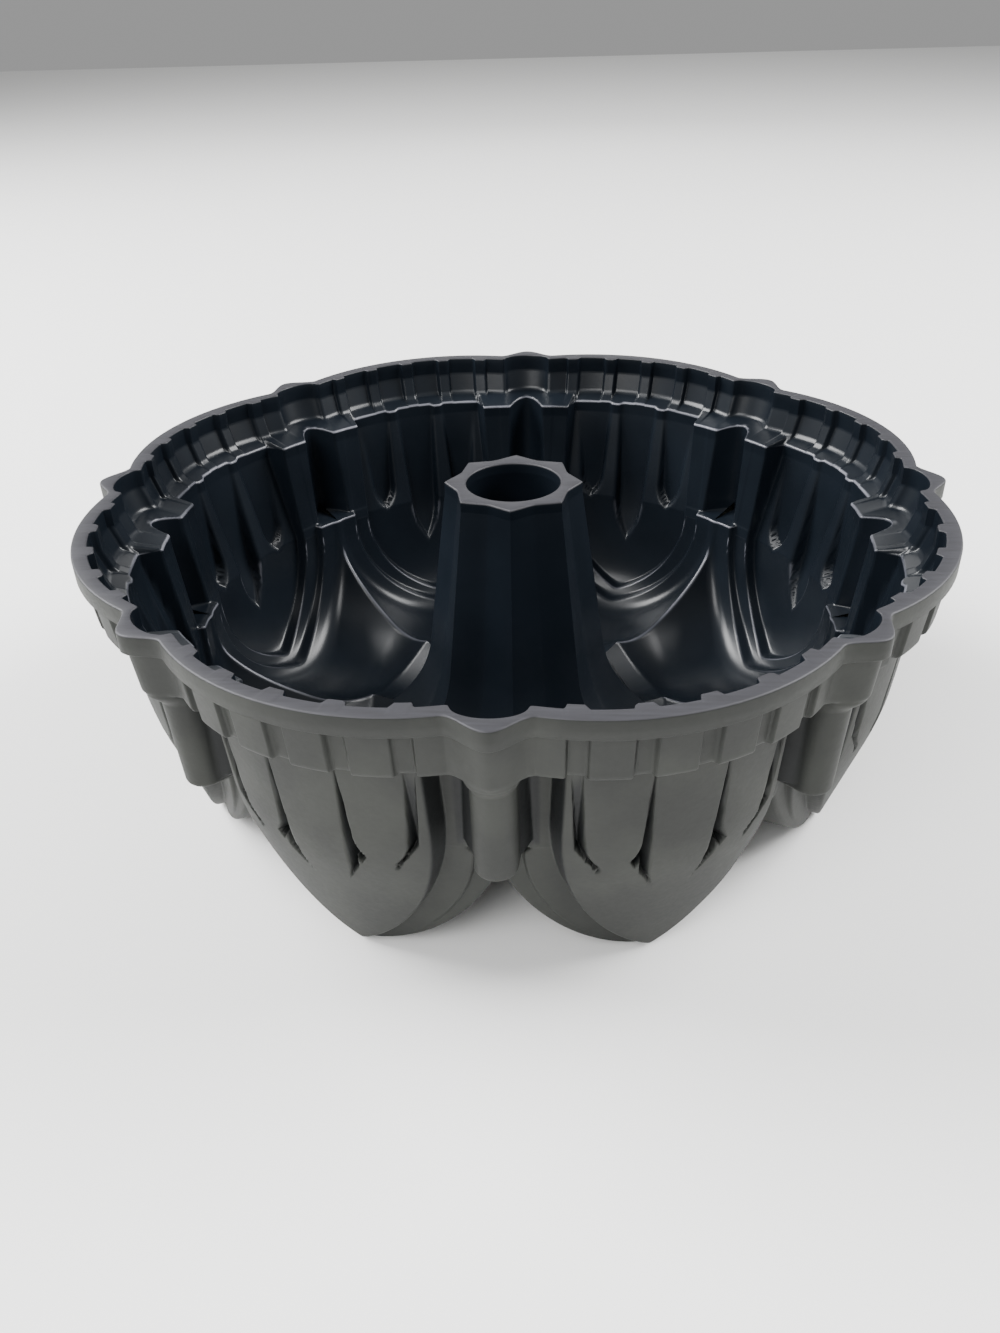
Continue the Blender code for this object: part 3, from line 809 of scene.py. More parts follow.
@dataclass(frozen=True)
class Mullions:
    """Three hollow bars side by side that fill each window, with dark slots between them."""

    lancets: tuple[Lancet, ...] = (
        Lancet(angle=-8.55, spring=42.0, foot=53.5, half_top=8.0, half_spring=6.6),
        Lancet(angle=0.0, spring=SPRING, foot=70.0, half_top=9.2, half_spring=7.7),
        Lancet(angle=8.55, spring=42.0, foot=53.5, half_top=8.0, half_spring=6.6),
    )
    ledge: float = BAND_FOOT
    wall: float = 4.4
    side_wall: float = 2.6
    slot_width: float = 2.6
    slot_wall: float = 2.6
    groove_fillet: float = 1.0
    # A slot narrows by this share of its depth on each side
    slot_draft: float = 0.32
    # Each slot's lower end is cut along a slant, at these depths where it would meet the middle
    slot_slant: float = 1.54
    slot_ends: tuple[float, float] = (69.4, 83.4)
    outer_slot: float = 19.5

    def groove(self, x: np.ndarray, v: np.ndarray, d: np.ndarray, face: np.ndarray) -> np.ndarray:
        """Return the gap to the grooves inside the bars.

        Args:
            x: Distance across the bay.
            v: Distance along its centre line.
            d: Depth.
            face: Radius of the window's painted face.

        Returns:
            The distance inwards from the nearest groove's surface.
        """
        outlines = [lancet.gap(x, v, d, self.ledge) for lancet in self.lancets]
        return soft_min(np.maximum.reduce(outlines) - self.side_wall,
                        face - self.wall - np.hypot(x, v), self.groove_fillet)

    def slot(self, x: np.ndarray, v: np.ndarray, d: np.ndarray) -> np.ndarray:
        """Return the gap to the slots' outline: what is close beside a bar, but in none.

        Args:
            x: Distance across the bay.
            v: Distance along its centre line.
            d: Depth.

        Returns:
            The distance inwards from the slots' edges.
        """
        outline = np.maximum.reduce([lancet.gap(x, v, d, self.ledge) for lancet in self.lancets])
        aside = np.abs(x)
        end = np.where(aside < self.outer_slot, *self.slot_ends) - self.slot_slant * aside
        slant = (end - d) / math.hypot(1.0, self.slot_slant)
        return np.minimum.reduce([outline + self.slot_width, -outline, slant])


@dataclass(frozen=True)
class Piers:
    """The columns between the bays: round-fronted outside, with a niche and a shelf inside."""

    layout: Layout
    half_width: float = 5.4
    front_radius: float = 118.0
    draft: float = 1.6
    foot: float = SPRING
    foot_fillet: float = 1.6
    corbel_half: float = 6.5
    corbel_radius: float = 121.5
    corbel_top: float = BAND_FOOT
    corbel_foot: float = 23.5
    shelf: float = 46.5
    niche_bend: float = 0.2
    niche_top_radius: float = 112.0
    niche_foot_radius: float = 111.0
    niche_wall: float = 1.8
    shelf_fillet: float = 0.8

    def pier(self, x: np.ndarray, v: np.ndarray, d: np.ndarray) -> np.ndarray:
        """Return the gap to the pier: a round-nosed outline that flares into the corbel.

        Args:
            x: Distance across the bay.
            v: Distance along its centre line.
            d: Depth.

        Returns:
            The distance inwards from the pier's surface.
        """
        aside, along = self.layout.column_frame(x, v)
        flare = rising(d, (self.corbel_foot, self.corbel_top))
        half = blend(self.half_width, self.corbel_half, flare)
        share = (d - self.corbel_foot) / (self.foot - self.corbel_foot)
        front = blend(self.front_radius - self.draft * np.maximum(share, 0.0), self.corbel_radius,
                      flare)
        nose = np.maximum(along - (front - half), 0.0)
        return soft_min(half - np.hypot(aside, nose), self.foot - d, self.foot_fillet)

    def niche(self, x: np.ndarray, v: np.ndarray, d: np.ndarray, wall: float) -> np.ndarray:
        """Return the gap to the niche, a wide hollow that ends on the shelf.

        In plan its back is a parabola, so it flares into the jambs on both sides.

        Args:
            x: Distance across the bay.
            v: Distance along its centre line.
            d: Depth.
            wall: Thickness added round it.

        Returns:
            The distance inwards from the niche's surface.
        """
        aside, along = self.layout.column_frame(x, v)
        share = np.clip((self.shelf - d) / (self.shelf - self.corbel_top), 0.0, 1.0)
        back = blend(self.niche_foot_radius, self.niche_top_radius, share)
        slope = 2.0 * self.niche_bend * aside
        room = (back - self.niche_bend * aside * aside - along) / np.hypot(1.0, slope)
        return soft_min(room, self.shelf - d, self.shelf_fillet) + wall


@dataclass(frozen=True)
class Casting:
    """The whole wall between the rim and the tube, as its hollow and its envelope."""

    layout: Layout
    band: Band
    arches: Arches
    mullions: Mullions
    piers: Piers
    fillet_inside: float = 0.6
    fillet_outside: float = 0.45
    lobe_rounding_inside: float = 3.0
    lobe_rounding_outside: float = 1.0
    ridge_fillet: float = 1.6
    arch_fillet: float = 0.7
    shelf_fillet: float = 1.0
    ledge_fillet: float = 1.2
    pleat_fillet: float = 1.6
    bar_fillet: float = 1.8
    slot_fillet: float = 0.3
    keel_fillet: float = 0.3
    jamb_wall: float = 2.3
    jamb_drop: float = 1.0

    def lobes(self, x: np.ndarray, v: np.ndarray, d: np.ndarray, outside: bool) -> np.ndarray:
        """Return the gap to this bay's lobe and the next one's, which meet in a ridge.

        Args:
            x: Distance across the bay.
            v: Distance along its centre line.
            d: Depth.
            outside: True for the painted side.

        Returns:
            The distance inwards from the nearer lobe's surface.
        """
        rounding = self.lobe_rounding_outside if outside else self.lobe_rounding_inside
        ours = self.arches.lobe(x, v, d, outside, rounding)
        theirs = self.arches.lobe(*self.layout.mirrored(x, v), d, outside, rounding)
        return soft_max(ours, theirs, self.ridge_fillet)

    def hollow(self, x: np.ndarray, v: np.ndarray, d: np.ndarray) -> np.ndarray:
        """Return the gap to the non-stick surface: the union of every room inside.

        Args:
            x: Distance across the bay.
            v: Distance along its centre line.
            d: Depth.

        Returns:
            The distance inwards from the inside surface.
        """
        radius = np.hypot(x, v)
        offset = np.degrees(np.arctan2(x, v))
        fillet = self.fillet_inside
        room = self.lobes(x, v, d, False)
        above = soft_min(self.arches.face_gap(1, radius, d, False), self.piers.shelf - d,
                         self.shelf_fillet)
        room = soft_max(room, above, fillet)
        for order in (1, 2):
            part = soft_min(self.arches.gap(order, x, d, False),
                            self.arches.face_gap(order, radius, d, False), self.arch_fillet)
            room = soft_max(room, part, fillet)
        face = self.window_radius(offset, d)
        room = soft_max(room, self.mullions.groove(x, v, d, face), self.bar_fillet)
        room = soft_max(room, self.piers.niche(x, v, d, 0.0), fillet)
        upper = soft_min(self.band.inside(offset, d) - radius,
                         self.band.ledge_depth(radius, offset) - d, self.ledge_fillet)
        return soft_max(room, upper, fillet)

    def window_radius(self, offset: np.ndarray, d: np.ndarray) -> np.ndarray:
        """Return the radius of the window's painted face: a cone that is bowed like the rim."""
        return self.arches.cone_radius(2, d) * self.band.rim.bowed(offset)

    def window(self, x: np.ndarray, v: np.ndarray, d: np.ndarray) -> np.ndarray:
        """Return the gap to the window's painted face, cut by the slots between its bars.

        The slots narrow as they deepen, and end on a floor that is a thin wall from the lining.

        Args:
            x: Distance across the bay.
            v: Distance along its centre line.
            d: Depth.

        Returns:
            The distance inwards from the window's surface.
        """
        radius = np.hypot(x, v)
        behind = self.window_radius(np.degrees(np.arctan2(x, v)), d) - radius
        plain = soft_min(self.arches.gap(2, x, d, True), behind, self.arch_fillet)
        slot = self.mullions.slot(x, v, d) - self.mullions.slot_draft * behind
        floor = self.arches.face_radius(2, d, False) + self.mullions.slot_wall
        return soft_min(plain, soft_max(-slot, floor - radius, self.slot_fillet), self.slot_fillet)

    def envelope(self, x: np.ndarray, v: np.ndarray, d: np.ndarray) -> np.ndarray:
        """Return the gap to the painted surface: the union of every form outside.

        Args:
            x: Distance across the bay.
            v: Distance along its centre line.
            d: Depth.

        Returns:
            The distance inwards from the outside surface.
        """
        radius = np.hypot(x, v)
        offset = np.degrees(np.arctan2(x, v))
        fillet = self.fillet_outside
        body = self.lobes(x, v, d, True)
        behind = self.arches.upright_radius(1, d) + self.jamb_wall - radius
        jambs = soft_min(behind, self.piers.foot + self.jamb_drop - d, self.shelf_fillet)
        body = soft_max(body, jambs, fillet)
        frame = soft_min(self.arches.leg_gap(x, d), self.arches.face_gap(1, radius, d, True),
                         self.arch_fillet)
        body = soft_max(body, frame, fillet)
        body = soft_max(body, self.window(x, v, d), fillet)
        body = soft_max(body, self.piers.pier(x, v, d), fillet)
        body = soft_max(body, self.piers.niche(x, v, d, self.piers.niche_wall), fillet)
        pleats = soft_min(self.band.outside(offset, d) - radius, self.band.foot - d,
                          self.pleat_fillet)
        body = soft_max(body, pleats, fillet)
        return soft_min(body, self.layout.height - d, self.keel_fillet)


@dataclass(frozen=True)
class PaintedShade:
    """Painted shade: the slots, the arches' sideways steps and the recesses beside the columns,
    darkened where shade falls.

    Each span is where a share rises from 0 to 1. Its ends are in millimetres, but for the step's,
    which is the sideways part of the surface's normal.
    """

    casting: Casting
    slot_depth: tuple[float, float] = (0.3, 1.2)
    slot_inside: tuple[float, float] = (-0.7, -0.3)
    window_inside: tuple[float, float] = (-0.3, 0.1)
    below_band: tuple[float, float] = (0.2, 0.6)
    step_sideways: tuple[float, float] = (0.5, 0.8)
    step_below_band: tuple[float, float] = (0.3, 0.9)
    step_radius: tuple[float, float] = (101.5, 104.0)
    step_depth: tuple[float, float] = (78.0, 64.0)
    step_aside: tuple[float, float] = (6.0, 6.7)
    step_window: tuple[float, float] = (0.6, 0.0)
    recess_below_band: tuple[float, float] = (0.0, 0.6)
    recess_near: tuple[float, float] = (5.2, 5.6)
    recess_far: tuple[float, float] = (10.3, 9.7)
    recess_radius: tuple[float, float] = (112.5, 111.5)
    recess_depth: tuple[float, float] = (50.5, 48.5)

    def slots(self, x: np.ndarray, v: np.ndarray, d: np.ndarray) -> np.ndarray:
        """Return how deep each point lies in a slot beside a bar.

        Args:
            x: Distance across the bay.
            v: Distance along its centre line.
            d: Depth.

        Returns:
            The share at each point, from 0 to 1.
        """
        casting = self.casting
        offset = np.degrees(np.arctan2(x, v))
        behind = casting.window_radius(offset, d) - np.hypot(x, v)
        return (rising(behind, self.slot_depth)
                * rising(casting.mullions.slot(x, v, d), self.slot_inside)
                * rising(casting.arches.gap(2, x, d, True), self.window_inside)
                * rising(d - casting.band.foot, self.below_band))

    def steps(self, x: np.ndarray, v: np.ndarray, d: np.ndarray,
              normals: np.ndarray) -> np.ndarray:
        """Return how far each point lies on the arches' steps, which face sideways.

        Args:
            x: Distance across the bay.
            v: Distance along its centre line.
            d: Depth.
            normals: The surface's normals there.

        Returns:
            The share at each point, from 0 to 1.
        """
        casting = self.casting
        radius = np.hypot(x, v)
        aside, _ = casting.layout.column_frame(x, v)
        sideways = np.abs(normals[..., 0] * v + normals[..., 1] * x) / radius
        return (rising(sideways, self.step_sideways)
                * rising(d - casting.band.foot, self.step_below_band)
                * rising(radius, self.step_radius) * rising(d, self.step_depth)
                * rising(aside, self.step_aside)
                * rising(casting.arches.gap(2, x, d, True), self.step_window))

    def recesses(self, x: np.ndarray, v: np.ndarray, d: np.ndarray) -> np.ndarray:
        """Return how far each point lies in the recess beside a column.

        Args:
            x: Distance across the bay.
            v: Distance along its centre line.
            d: Depth.

        Returns:
            The share at each point, from 0 to 1.
        """
        aside, _ = self.casting.layout.column_frame(x, v)
        return (rising(aside, self.recess_near) * rising(aside, self.recess_far)
                * rising(np.hypot(x, v), self.recess_radius) * rising(d, self.recess_depth)
                * rising(d - self.casting.band.foot, self.recess_below_band))

    def share(self, points: np.ndarray, normals: np.ndarray) -> np.ndarray:
        """Return how much painted shade each point takes: the most of the slots, steps and
        recesses.

        Args:
            points: Points in the bay's frame as x, v and depth.
            normals: The surface's normals there.

        Returns:
            The share at each point, from 0 to 1.
        """
        x, v, d = np.moveaxis(points, -1, 0)
        return np.maximum.reduce([self.slots(x, v, d), self.steps(x, v, d, normals),
                                  self.recesses(x, v, d)])


@dataclass(frozen=True)
class EdgeWearAndHighlight:
    """Where the lining is lightened along the edges that stand out of it: rubbed wear, and painted
    highlight.
    """

    casting: Casting
    # In radians per millimetre: where an edge starts to shine, and where it shines whole
    bend: tuple[float, float] = (0.4, 1.0)
    # Upright edges only take the wear and painted highlight this far below the spring
    below_spring: tuple[float, float] = (0.0, 2.0)
    least_step: float = 1e-4

    def bends(self, points: np.ndarray, normals: np.ndarray, axis: int) -> np.ndarray:
        """Return the bend along one way of the grid: the normal's change over the distance.

        Args:
            points: Points in the bay's frame as x, v and depth.
            normals: Their normals, in a frame of x, -v and height.
            axis: The way of the grid.

        Returns:
            The bend at each point, in radians per millimetre.
        """
        step = np.gradient(points, axis=axis)
        turn = np.gradient(normals, axis=axis) * np.array([1.0, -1.0, -1.0])
        return (turn * step).sum(-1) / np.maximum((step * step).sum(-1), self.least_step)

    def share(self, points: np.ndarray, normals: np.ndarray) -> np.ndarray:
        """Return how sharply the lining bends outwards at each point, as the share of edge wear and
        painted highlight.

        Args:
            points: Points in the bay's frame as x, v and depth.
            normals: Their normals, in a frame of x, -v and height.

        Returns:
            The share at each point, from 0 to 1.
        """
        lower = rising(points[..., 2] - self.casting.arches.spring, self.below_spring)
        along, across = (self.bends(points, normals, axis) for axis in (0, 1))
        return rising(np.maximum(along, across * lower), self.bend)


# Meshes


def normals_of(gap: Gap, x: np.ndarray, v: np.ndarray, d: np.ndarray) -> np.ndarray:
    """Return the slope of a gap, in a frame of x, -v and height, by central differences.

    Args:
        gap: The gap.
        x: Distance across the bay.
        v: Distance along its centre line.
        d: Depth.

    Returns:
        Unit vectors that point the way the gap grows.
    """
    step = DIFFERENCE_STEP
    slope = np.stack([gap(x + step, v, d) - gap(x - step, v, d),
                      gap(x, v - step, d) - gap(x, v + step, d),
                      gap(x, v, d - step) - gap(x, v, d + step)], axis=-1)
    return slope / np.maximum(np.linalg.norm(slope, axis=-1, keepdims=True), TINY)


@dataclass(frozen=True)
class Crowding:
    """How the lines of a grid crowd round the edges that they have to follow."""

    width: float
    closeness: float

    def density(self, fine: np.ndarray, knot: np.ndarray | float) -> np.ndarray:
        """Return a bell curve round a knot: how much denser the lines stand there."""
        return self.closeness * np.exp(-(((fine - knot) / self.width) ** 2))


def running_share(density: np.ndarray) -> np.ndarray:
    """Return the density's running sum down each column, from 0 to 1."""
    total = np.cumsum(density, axis=0)
    return (total - total[0]) / (total[-1] - total[0])


def spread(knots: list[np.ndarray], length: float, count: int, crowding: Crowding) -> np.ndarray:
    """Space rows along a path so that they crowd round each knot.

    The density is 1 plus a bell curve at each knot, and the rows stand at equal shares of its sum.

    Args:
        knots: Where each feature crosses the path, one value for each column of the grid.
        length: The path's length.
        count: How many rows.
        crowding: The bell curves.

    Returns:
        The place of each row in each column, shaped (rows, columns).
    """
    fine = np.linspace(0.0, length, FINE_STEPS)[:, None]
    density = np.ones((fine.size, knots[0].size))
    for knot in knots:
        density += crowding.density(fine, knot[None, :])
    total = running_share(density)
    shares = np.linspace(0.0, 1.0, count)
    places = [np.interp(shares, total[:, column], fine[:, 0]) for column in range(total.shape[1])]
    return np.stack(places, axis=1)


def build_mesh(name: str, points: np.ndarray, faces: np.ndarray, slots: np.ndarray,
               materials: list[bpy.types.Material]) -> bpy.types.Object:
    """Make a smooth object of quads, with its place in its mesh.

    Args:
        name: The piece's name.
        points: Points in metres, shaped (count, 3).
        faces: Point numbers of each quad, shaped (count, 4).
        slots: The material slot of each quad.
        materials: The object's materials.

    Returns:
        The object, linked into the scene.
    """
    mesh = bpy.data.meshes.new(name)
    mesh.vertices.add(len(points))
    mesh.vertices.foreach_set("co", points.astype(np.float32).ravel())
    mesh.loops.add(faces.size)
    mesh.loops.foreach_set("vertex_index", faces.astype(np.int32).ravel())
    mesh.polygons.add(len(faces))
    mesh.polygons.foreach_set("loop_start", np.arange(0, faces.size, 4, dtype=np.int32))
    for material in materials:
        mesh.materials.append(material)
    mesh.polygons.foreach_set("material_index", slots.astype(np.int32))
    mesh.update(calc_edges=True)
    mesh.validate()
    mesh.shade_smooth()
    item = bpy.data.objects.new(name, mesh)
    bpy.context.scene.collection.objects.link(item)
    return item


def grid_faces(rows: int, columns: int, start: int = 0, wrap: bool = False) -> np.ndarray:
    """Return the quads of a grid of points numbered row by row.

    Args:
        rows: How many rows.
        columns: How many columns.
        start: The first point's number.
        wrap: True if the last column joins the first.

    Returns:
        Point numbers, shaped (quads, 4).
    """
    row = np.arange(rows - 1)[:, None] * columns
    here = np.arange(columns if wrap else columns - 1)[None, :]
    after = (here + 1) % columns
    quads = np.stack([row + here, row + after, row + columns + after, row + columns + here], -1)
    return quads.reshape(-1, 4) + start


@dataclass
class BayCasting:
    """One eighth of the wall: a bay with half a column on each side, from the band to the tube."""

    casting: Casting
    hub_radius: float = 62.0
    fan_scale: float = 45.0
    outer_start: float = 140.0
    under_start: float = 125.0
    ray_steps: int = 90
    rows: int = 210
    row_crowding: Crowding = Crowding(width=0.9, closeness=3.6)
    # Columns from the bay's middle to the column's, and the upright edges' offsets in degrees
    half_columns: int = 100
    column_crowding: Crowding = Crowding(width=0.2, closeness=2.6)
    seam_crowding: Crowding = Crowding(width=0.8, closeness=1.5)
    bar_edges: tuple[float, ...] = (1.2, 2.8, 3.4, 4.2, 4.6, 5.3, 5.8, 6.5, 8.05, 11.2, 12.3)
    jamb_edges: tuple[float, ...] = (12.9, 13.7, 14.15, 14.6, 15.2, 15.6)
    pier_edges: tuple[float, ...] = (17.3, 18.1, 19.0, 19.8, 21.1)
    column_steps: int = 4000
    # An arch's edge is found from this radius in so many turns of depth and radius
    edge_start: float = 100.0
    edge_turns: int = 6

    def __post_init__(self) -> None:
        """Work out the shared grid and its finishes' shares once."""
        self.offsets = self.columns()
        self.inside_points, self.inside_normals = self.skin(False)
        self.outside_points, self.outside_normals = self.skin(True)
        self.rubbed_and_highlit = EdgeWearAndHighlight(self.casting).share(self.inside_points, self.inside_normals)
        self.painted_shaded = PaintedShade(self.casting).share(self.outside_points, self.outside_normals)

    def columns(self) -> np.ndarray:
        """Space the grid's columns so that they crowd round upright edges and both seams.

        Returns:
            The columns' offsets from the bay's centre line, in degrees.
        """
        half = self.casting.layout.half_pitch
        fine = np.linspace(0.0, half, self.column_steps)
        density = np.ones(fine.size)
        for knot in self.bar_edges + self.jamb_edges + self.pier_edges:
            density += self.column_crowding.density(fine, knot)
        for knot in (0.0, half):
            density += self.seam_crowding.density(fine, knot)
        one_side = np.interp(np.linspace(0.0, 1.0, self.half_columns), running_share(density), fine)
        return np.concatenate([-one_side[:0:-1], one_side])

    def knots(self, outside: bool) -> list[np.ndarray]:
        """Return where each edge of the wall crosses the path, for every column.

        Each arch has an edge with its own face, and one with the next wider arch's face.

        Args:
            outside: True for the painted side.

        Returns:
            Path places, one array for each edge.
        """
        casting = self.casting
        arches = casting.arches
        angle = np.radians(self.offsets)
        levels = ((casting.band.foot, casting.piers.corbel_foot, casting.piers.foot) if outside
                  else (casting.band.slope_start, casting.band.ledge, casting.piers.shelf))
        found = [np.full(angle.size, level - casting.band.top) for level in levels]
        for order, face in ((2, 2), (2, 1), (1, 1), (1, 0), (0, 0)):
            radius = np.full(angle.size, self.edge_start)
            for _ in range(self.edge_turns):
                depth = arches.curve_depth(order, radius * np.sin(angle), outside)
                radius = arches.face_radius(face, depth, outside)
            turn = np.arctan2(depth - arches.spring, radius - self.hub_radius)
            found.append(arches.spring - casting.band.top + self.fan_scale * turn)
        return found

    def rays(self, places: np.ndarray, outside: bool) -> tuple[np.ndarray, ...]:
        """Return where the rays that find the wall start, and which way they run.

        Along the path rays first run level at each depth, then fan from level to straight down
        about a hub at the arches' spring, and then run straight down ever nearer the tube.

        Args:
            places: Path places, shaped (rows, columns).
            outside: True for rays that come from outside.

        Returns:
            Start radius, start depth, and the radial and downward parts of the direction.
        """
        arches = self.casting.arches
        level = arches.spring - self.casting.band.top
        quarter = self.fan_scale * math.pi / 2.0
        turn = np.clip((places - level) / self.fan_scale, 0.0, math.pi / 2.0)
        inwards = np.maximum(places - level - quarter, 0.0)
        out, down = np.cos(turn), np.sin(turn)
        radius = self.hub_radius - inwards
        depth = np.minimum(places, level) + self.casting.band.top
        if not outside:
            return radius, depth, out, down
        reach = blend(self.outer_start - self.hub_radius, self.under_start - arches.spring,
                      turn / (math.pi / 2.0))
        return radius + out * reach, depth + down * reach, -out, -down

    def skin(self, outside: bool) -> tuple[np.ndarray, np.ndarray]:
        """Find the wall's surface on one side.

        Each ray steps on by the gap where it is, so it stops where the gap is nothing.

        Args:
            outside: True for the painted side.

        Returns:
            Points in the bay's frame as x, v and depth, and their outward normals.
        """
        gap = self.casting.envelope if outside else self.casting.hollow
        arches = self.casting.arches
        length = (arches.spring - self.casting.band.top + self.fan_scale * math.pi / 2.0
                  + self.hub_radius - arches.lobe_inner)
        places = spread(self.knots(outside), length, self.rows, self.row_crowding)
        radius, depth, out, down = self.rays(places, outside)
        angle = np.radians(self.offsets)[None, :]
        sine, cosine = np.sin(angle), np.cos(angle)
        along = np.zeros_like(radius)
        sign = -1.0 if outside else 1.0
        for _ in range(self.ray_steps):
            here = radius + out * along
            along = along + STRIDE * sign * gap(here * sine, here * cosine, depth + down * along)
        here = radius + out * along
        x, v, d = here * sine, here * cosine, depth + down * along
        return np.stack([x, v, d], axis=-1), normals_of(gap, x, v, d) * sign

    def make(self, index: int, materials: list[bpy.types.Material]) -> bpy.types.Object:
        """Make the closed piece for one bay.

        Args:
            index: Which bay, from 0.
            materials: The pan's materials.

        Returns:
            The piece.
        """
        rows, columns = self.inside_points.shape[:2]
        count = rows * columns
        points = np.concatenate([self.inside_points.reshape(-1, 3),
                                 self.outside_points.reshape(-1, 3)])
        inner = grid_faces(rows, columns)
        outer = grid_faces(rows, columns, count)[:, ::-1]
        line = np.arange(columns - 1)
        foot = (rows - 1) * columns
        head = np.stack([line + 1, line, line + count, line + 1 + count], -1)
        tail = np.stack([foot + line, foot + line + 1, foot + line + 1 + count,
                         foot + line + count], -1)
        step = np.arange(rows - 1) * columns
        left = np.stack([step, step + columns, step + columns + count, step + count], -1)
        end = step + columns - 1
        right = np.stack([end + columns, end, end + count, end + columns + count], -1)
        faces = np.concatenate([inner, outer, head, tail, left, right])
        slots = np.full(len(faces), Face.PAINT.value)
        slots[:len(inner)] = Face.LINING.value
        turned = turn_bay(points, self.casting.layout, index)
        item = build_mesh(f"bay_casting_{index + 1}", turned * MM, faces, slots, materials[:2])
        normals = np.concatenate([self.inside_normals.reshape(-1, 3),
                                  self.outside_normals.reshape(-1, 3)])
        item.data.normals_split_custom_set_from_vertices(
            turn_normals(normals, self.casting.layout, index).astype(np.float32))
        blank = np.zeros(count)
        # The outside takes the painted shade, the inside the edge wear and painted highlight
        shares = {Mark.PAINTED_SHADE: (blank, self.painted_shaded.ravel()),
                  Mark.EDGE_WEAR_AND_HIGHLIGHT: (self.rubbed_and_highlit.ravel(), blank)}
        for mark, values in shares.items():
            layer = item.data.attributes.new(mark.value, "FLOAT", "POINT")
            layer.data.foreach_set("value", np.concatenate(values).astype(np.float32))
        return item


def turn_bay(points: np.ndarray, layout: Layout, index: int) -> np.ndarray:
    """Turn points from a bay's frame of x, v and depth into the pan's frame.

    Args:
        points: Points shaped (count, 3).
        layout: How the pan is divided.
        index: Which bay.

    Returns:
        Points in millimetres, height upwards.
    """
    x, v, d = points.T
    flat = turn_normals(np.stack([x, -v, np.zeros_like(x)], -1), layout, index)
    flat[:, 2] = layout.height - d
    return flat


def turn_normals(normals: np.ndarray, layout: Layout, index: int) -> np.ndarray:
    """Turn vectors about the pan's axis by a bay's azimuth."""
    return normals @ turn_about_axis(layout.azimuth(index)).T


def broken_edge(radius: float) -> tuple[np.ndarray, np.ndarray]:
    """Return the points of a rounded edge, on a quarter circle from the side to the top.

    Args:
        radius: The edge's radius.

    Returns:
        How far each point lies inside the side, and how far below the top.
    """
    return radius * (1.0 - np.cos(EDGE_TURNS)), radius * (1.0 - np.sin(EDGE_TURNS))


@dataclass(frozen=True)
class Section:
    """The section of a closed ring at each offset of one bay, shaped (points, offsets)."""

    radius: np.ndarray
    depth: np.ndarray
    # The material slot of each row of quads
    kinds: np.ndarray
    # True if the section runs up the bore and down the outside
    bore_first: bool

    def revolve(self, name: str, layout: Layout, offsets: np.ndarray,
                materials: list[bpy.types.Material]) -> bpy.types.Object:
        """Make the ring, once round all the bays.

        Args:
            name: The piece's name.
            layout: How the pan is divided.
            offsets: The section's offsets from a bay's centre line, in degrees.
            materials: The pan's materials.

        Returns:
            The piece.
        """
        azimuth = np.radians(np.concatenate(
            [layout.azimuth(index) + offsets for index in range(layout.bays)]))
        radius = np.tile(self.radius, (1, layout.bays))
        depth = np.tile(self.depth, (1, layout.bays))
        points = np.stack([radius * np.sin(azimuth), -radius * np.cos(azimuth),
                           layout.height - depth], -1)
        rows, columns = radius.shape
        faces = grid_faces(rows + 1, columns, 0, True) % (rows * columns)
        if self.bore_first:
            faces = faces[:, ::-1]
        item = build_mesh(name, points.reshape(-1, 3) * MM, faces, np.repeat(self.kinds, columns),
                          materials)
        item.data.set_sharp_from_angle(angle=CREASE_ANGLE)
        return item


@dataclass
class RimFlange:
    """The flat-topped rim, ground on top, painted outside and coated inside."""

    rim: RimOutline
    offsets: np.ndarray
    depth: float = 5.5
    edge: float = 0.55
    foot_inset: float = 0.35
    lining_rows: int = 3
    ground_rows: int = 5

    def section(self) -> Section:
        """Work out the rim's section: up the inner outline, over the top and down the outer.

        Returns:
            The section at each offset.
        """
        offsets = self.offsets[:-1]
        inset, sink = broken_edge(self.edge)
        inner = self.rim.inner(offsets) + np.concatenate([[0.0, 0.0], inset])[:, None]
        outer = self.rim.outer(offsets) - np.concatenate(
            [inset[::-1], [0.0, 0.0, self.foot_inset]])[:, None]
        depth = np.concatenate([[self.depth, self.depth / 2.0], sink, sink[::-1],
                                [self.depth / 2.0, self.depth - self.foot_inset, self.depth]])
        radius = np.concatenate([inner, outer])
        kinds = np.full(depth.size, Face.PAINT.value)
        kinds[:self.lining_rows] = Face.LINING.value
        kinds[self.lining_rows:self.lining_rows + self.ground_rows] = Face.GROUND.value
        return Section(radius, np.broadcast_to(depth[:, None], radius.shape), kinds, True)

    def make(self, materials: list[bpy.types.Material]) -> bpy.types.Object:
        """Return the ring piece."""
        return self.section().revolve("rim_ring", self.rim.layout, self.offsets[:-1], materials)


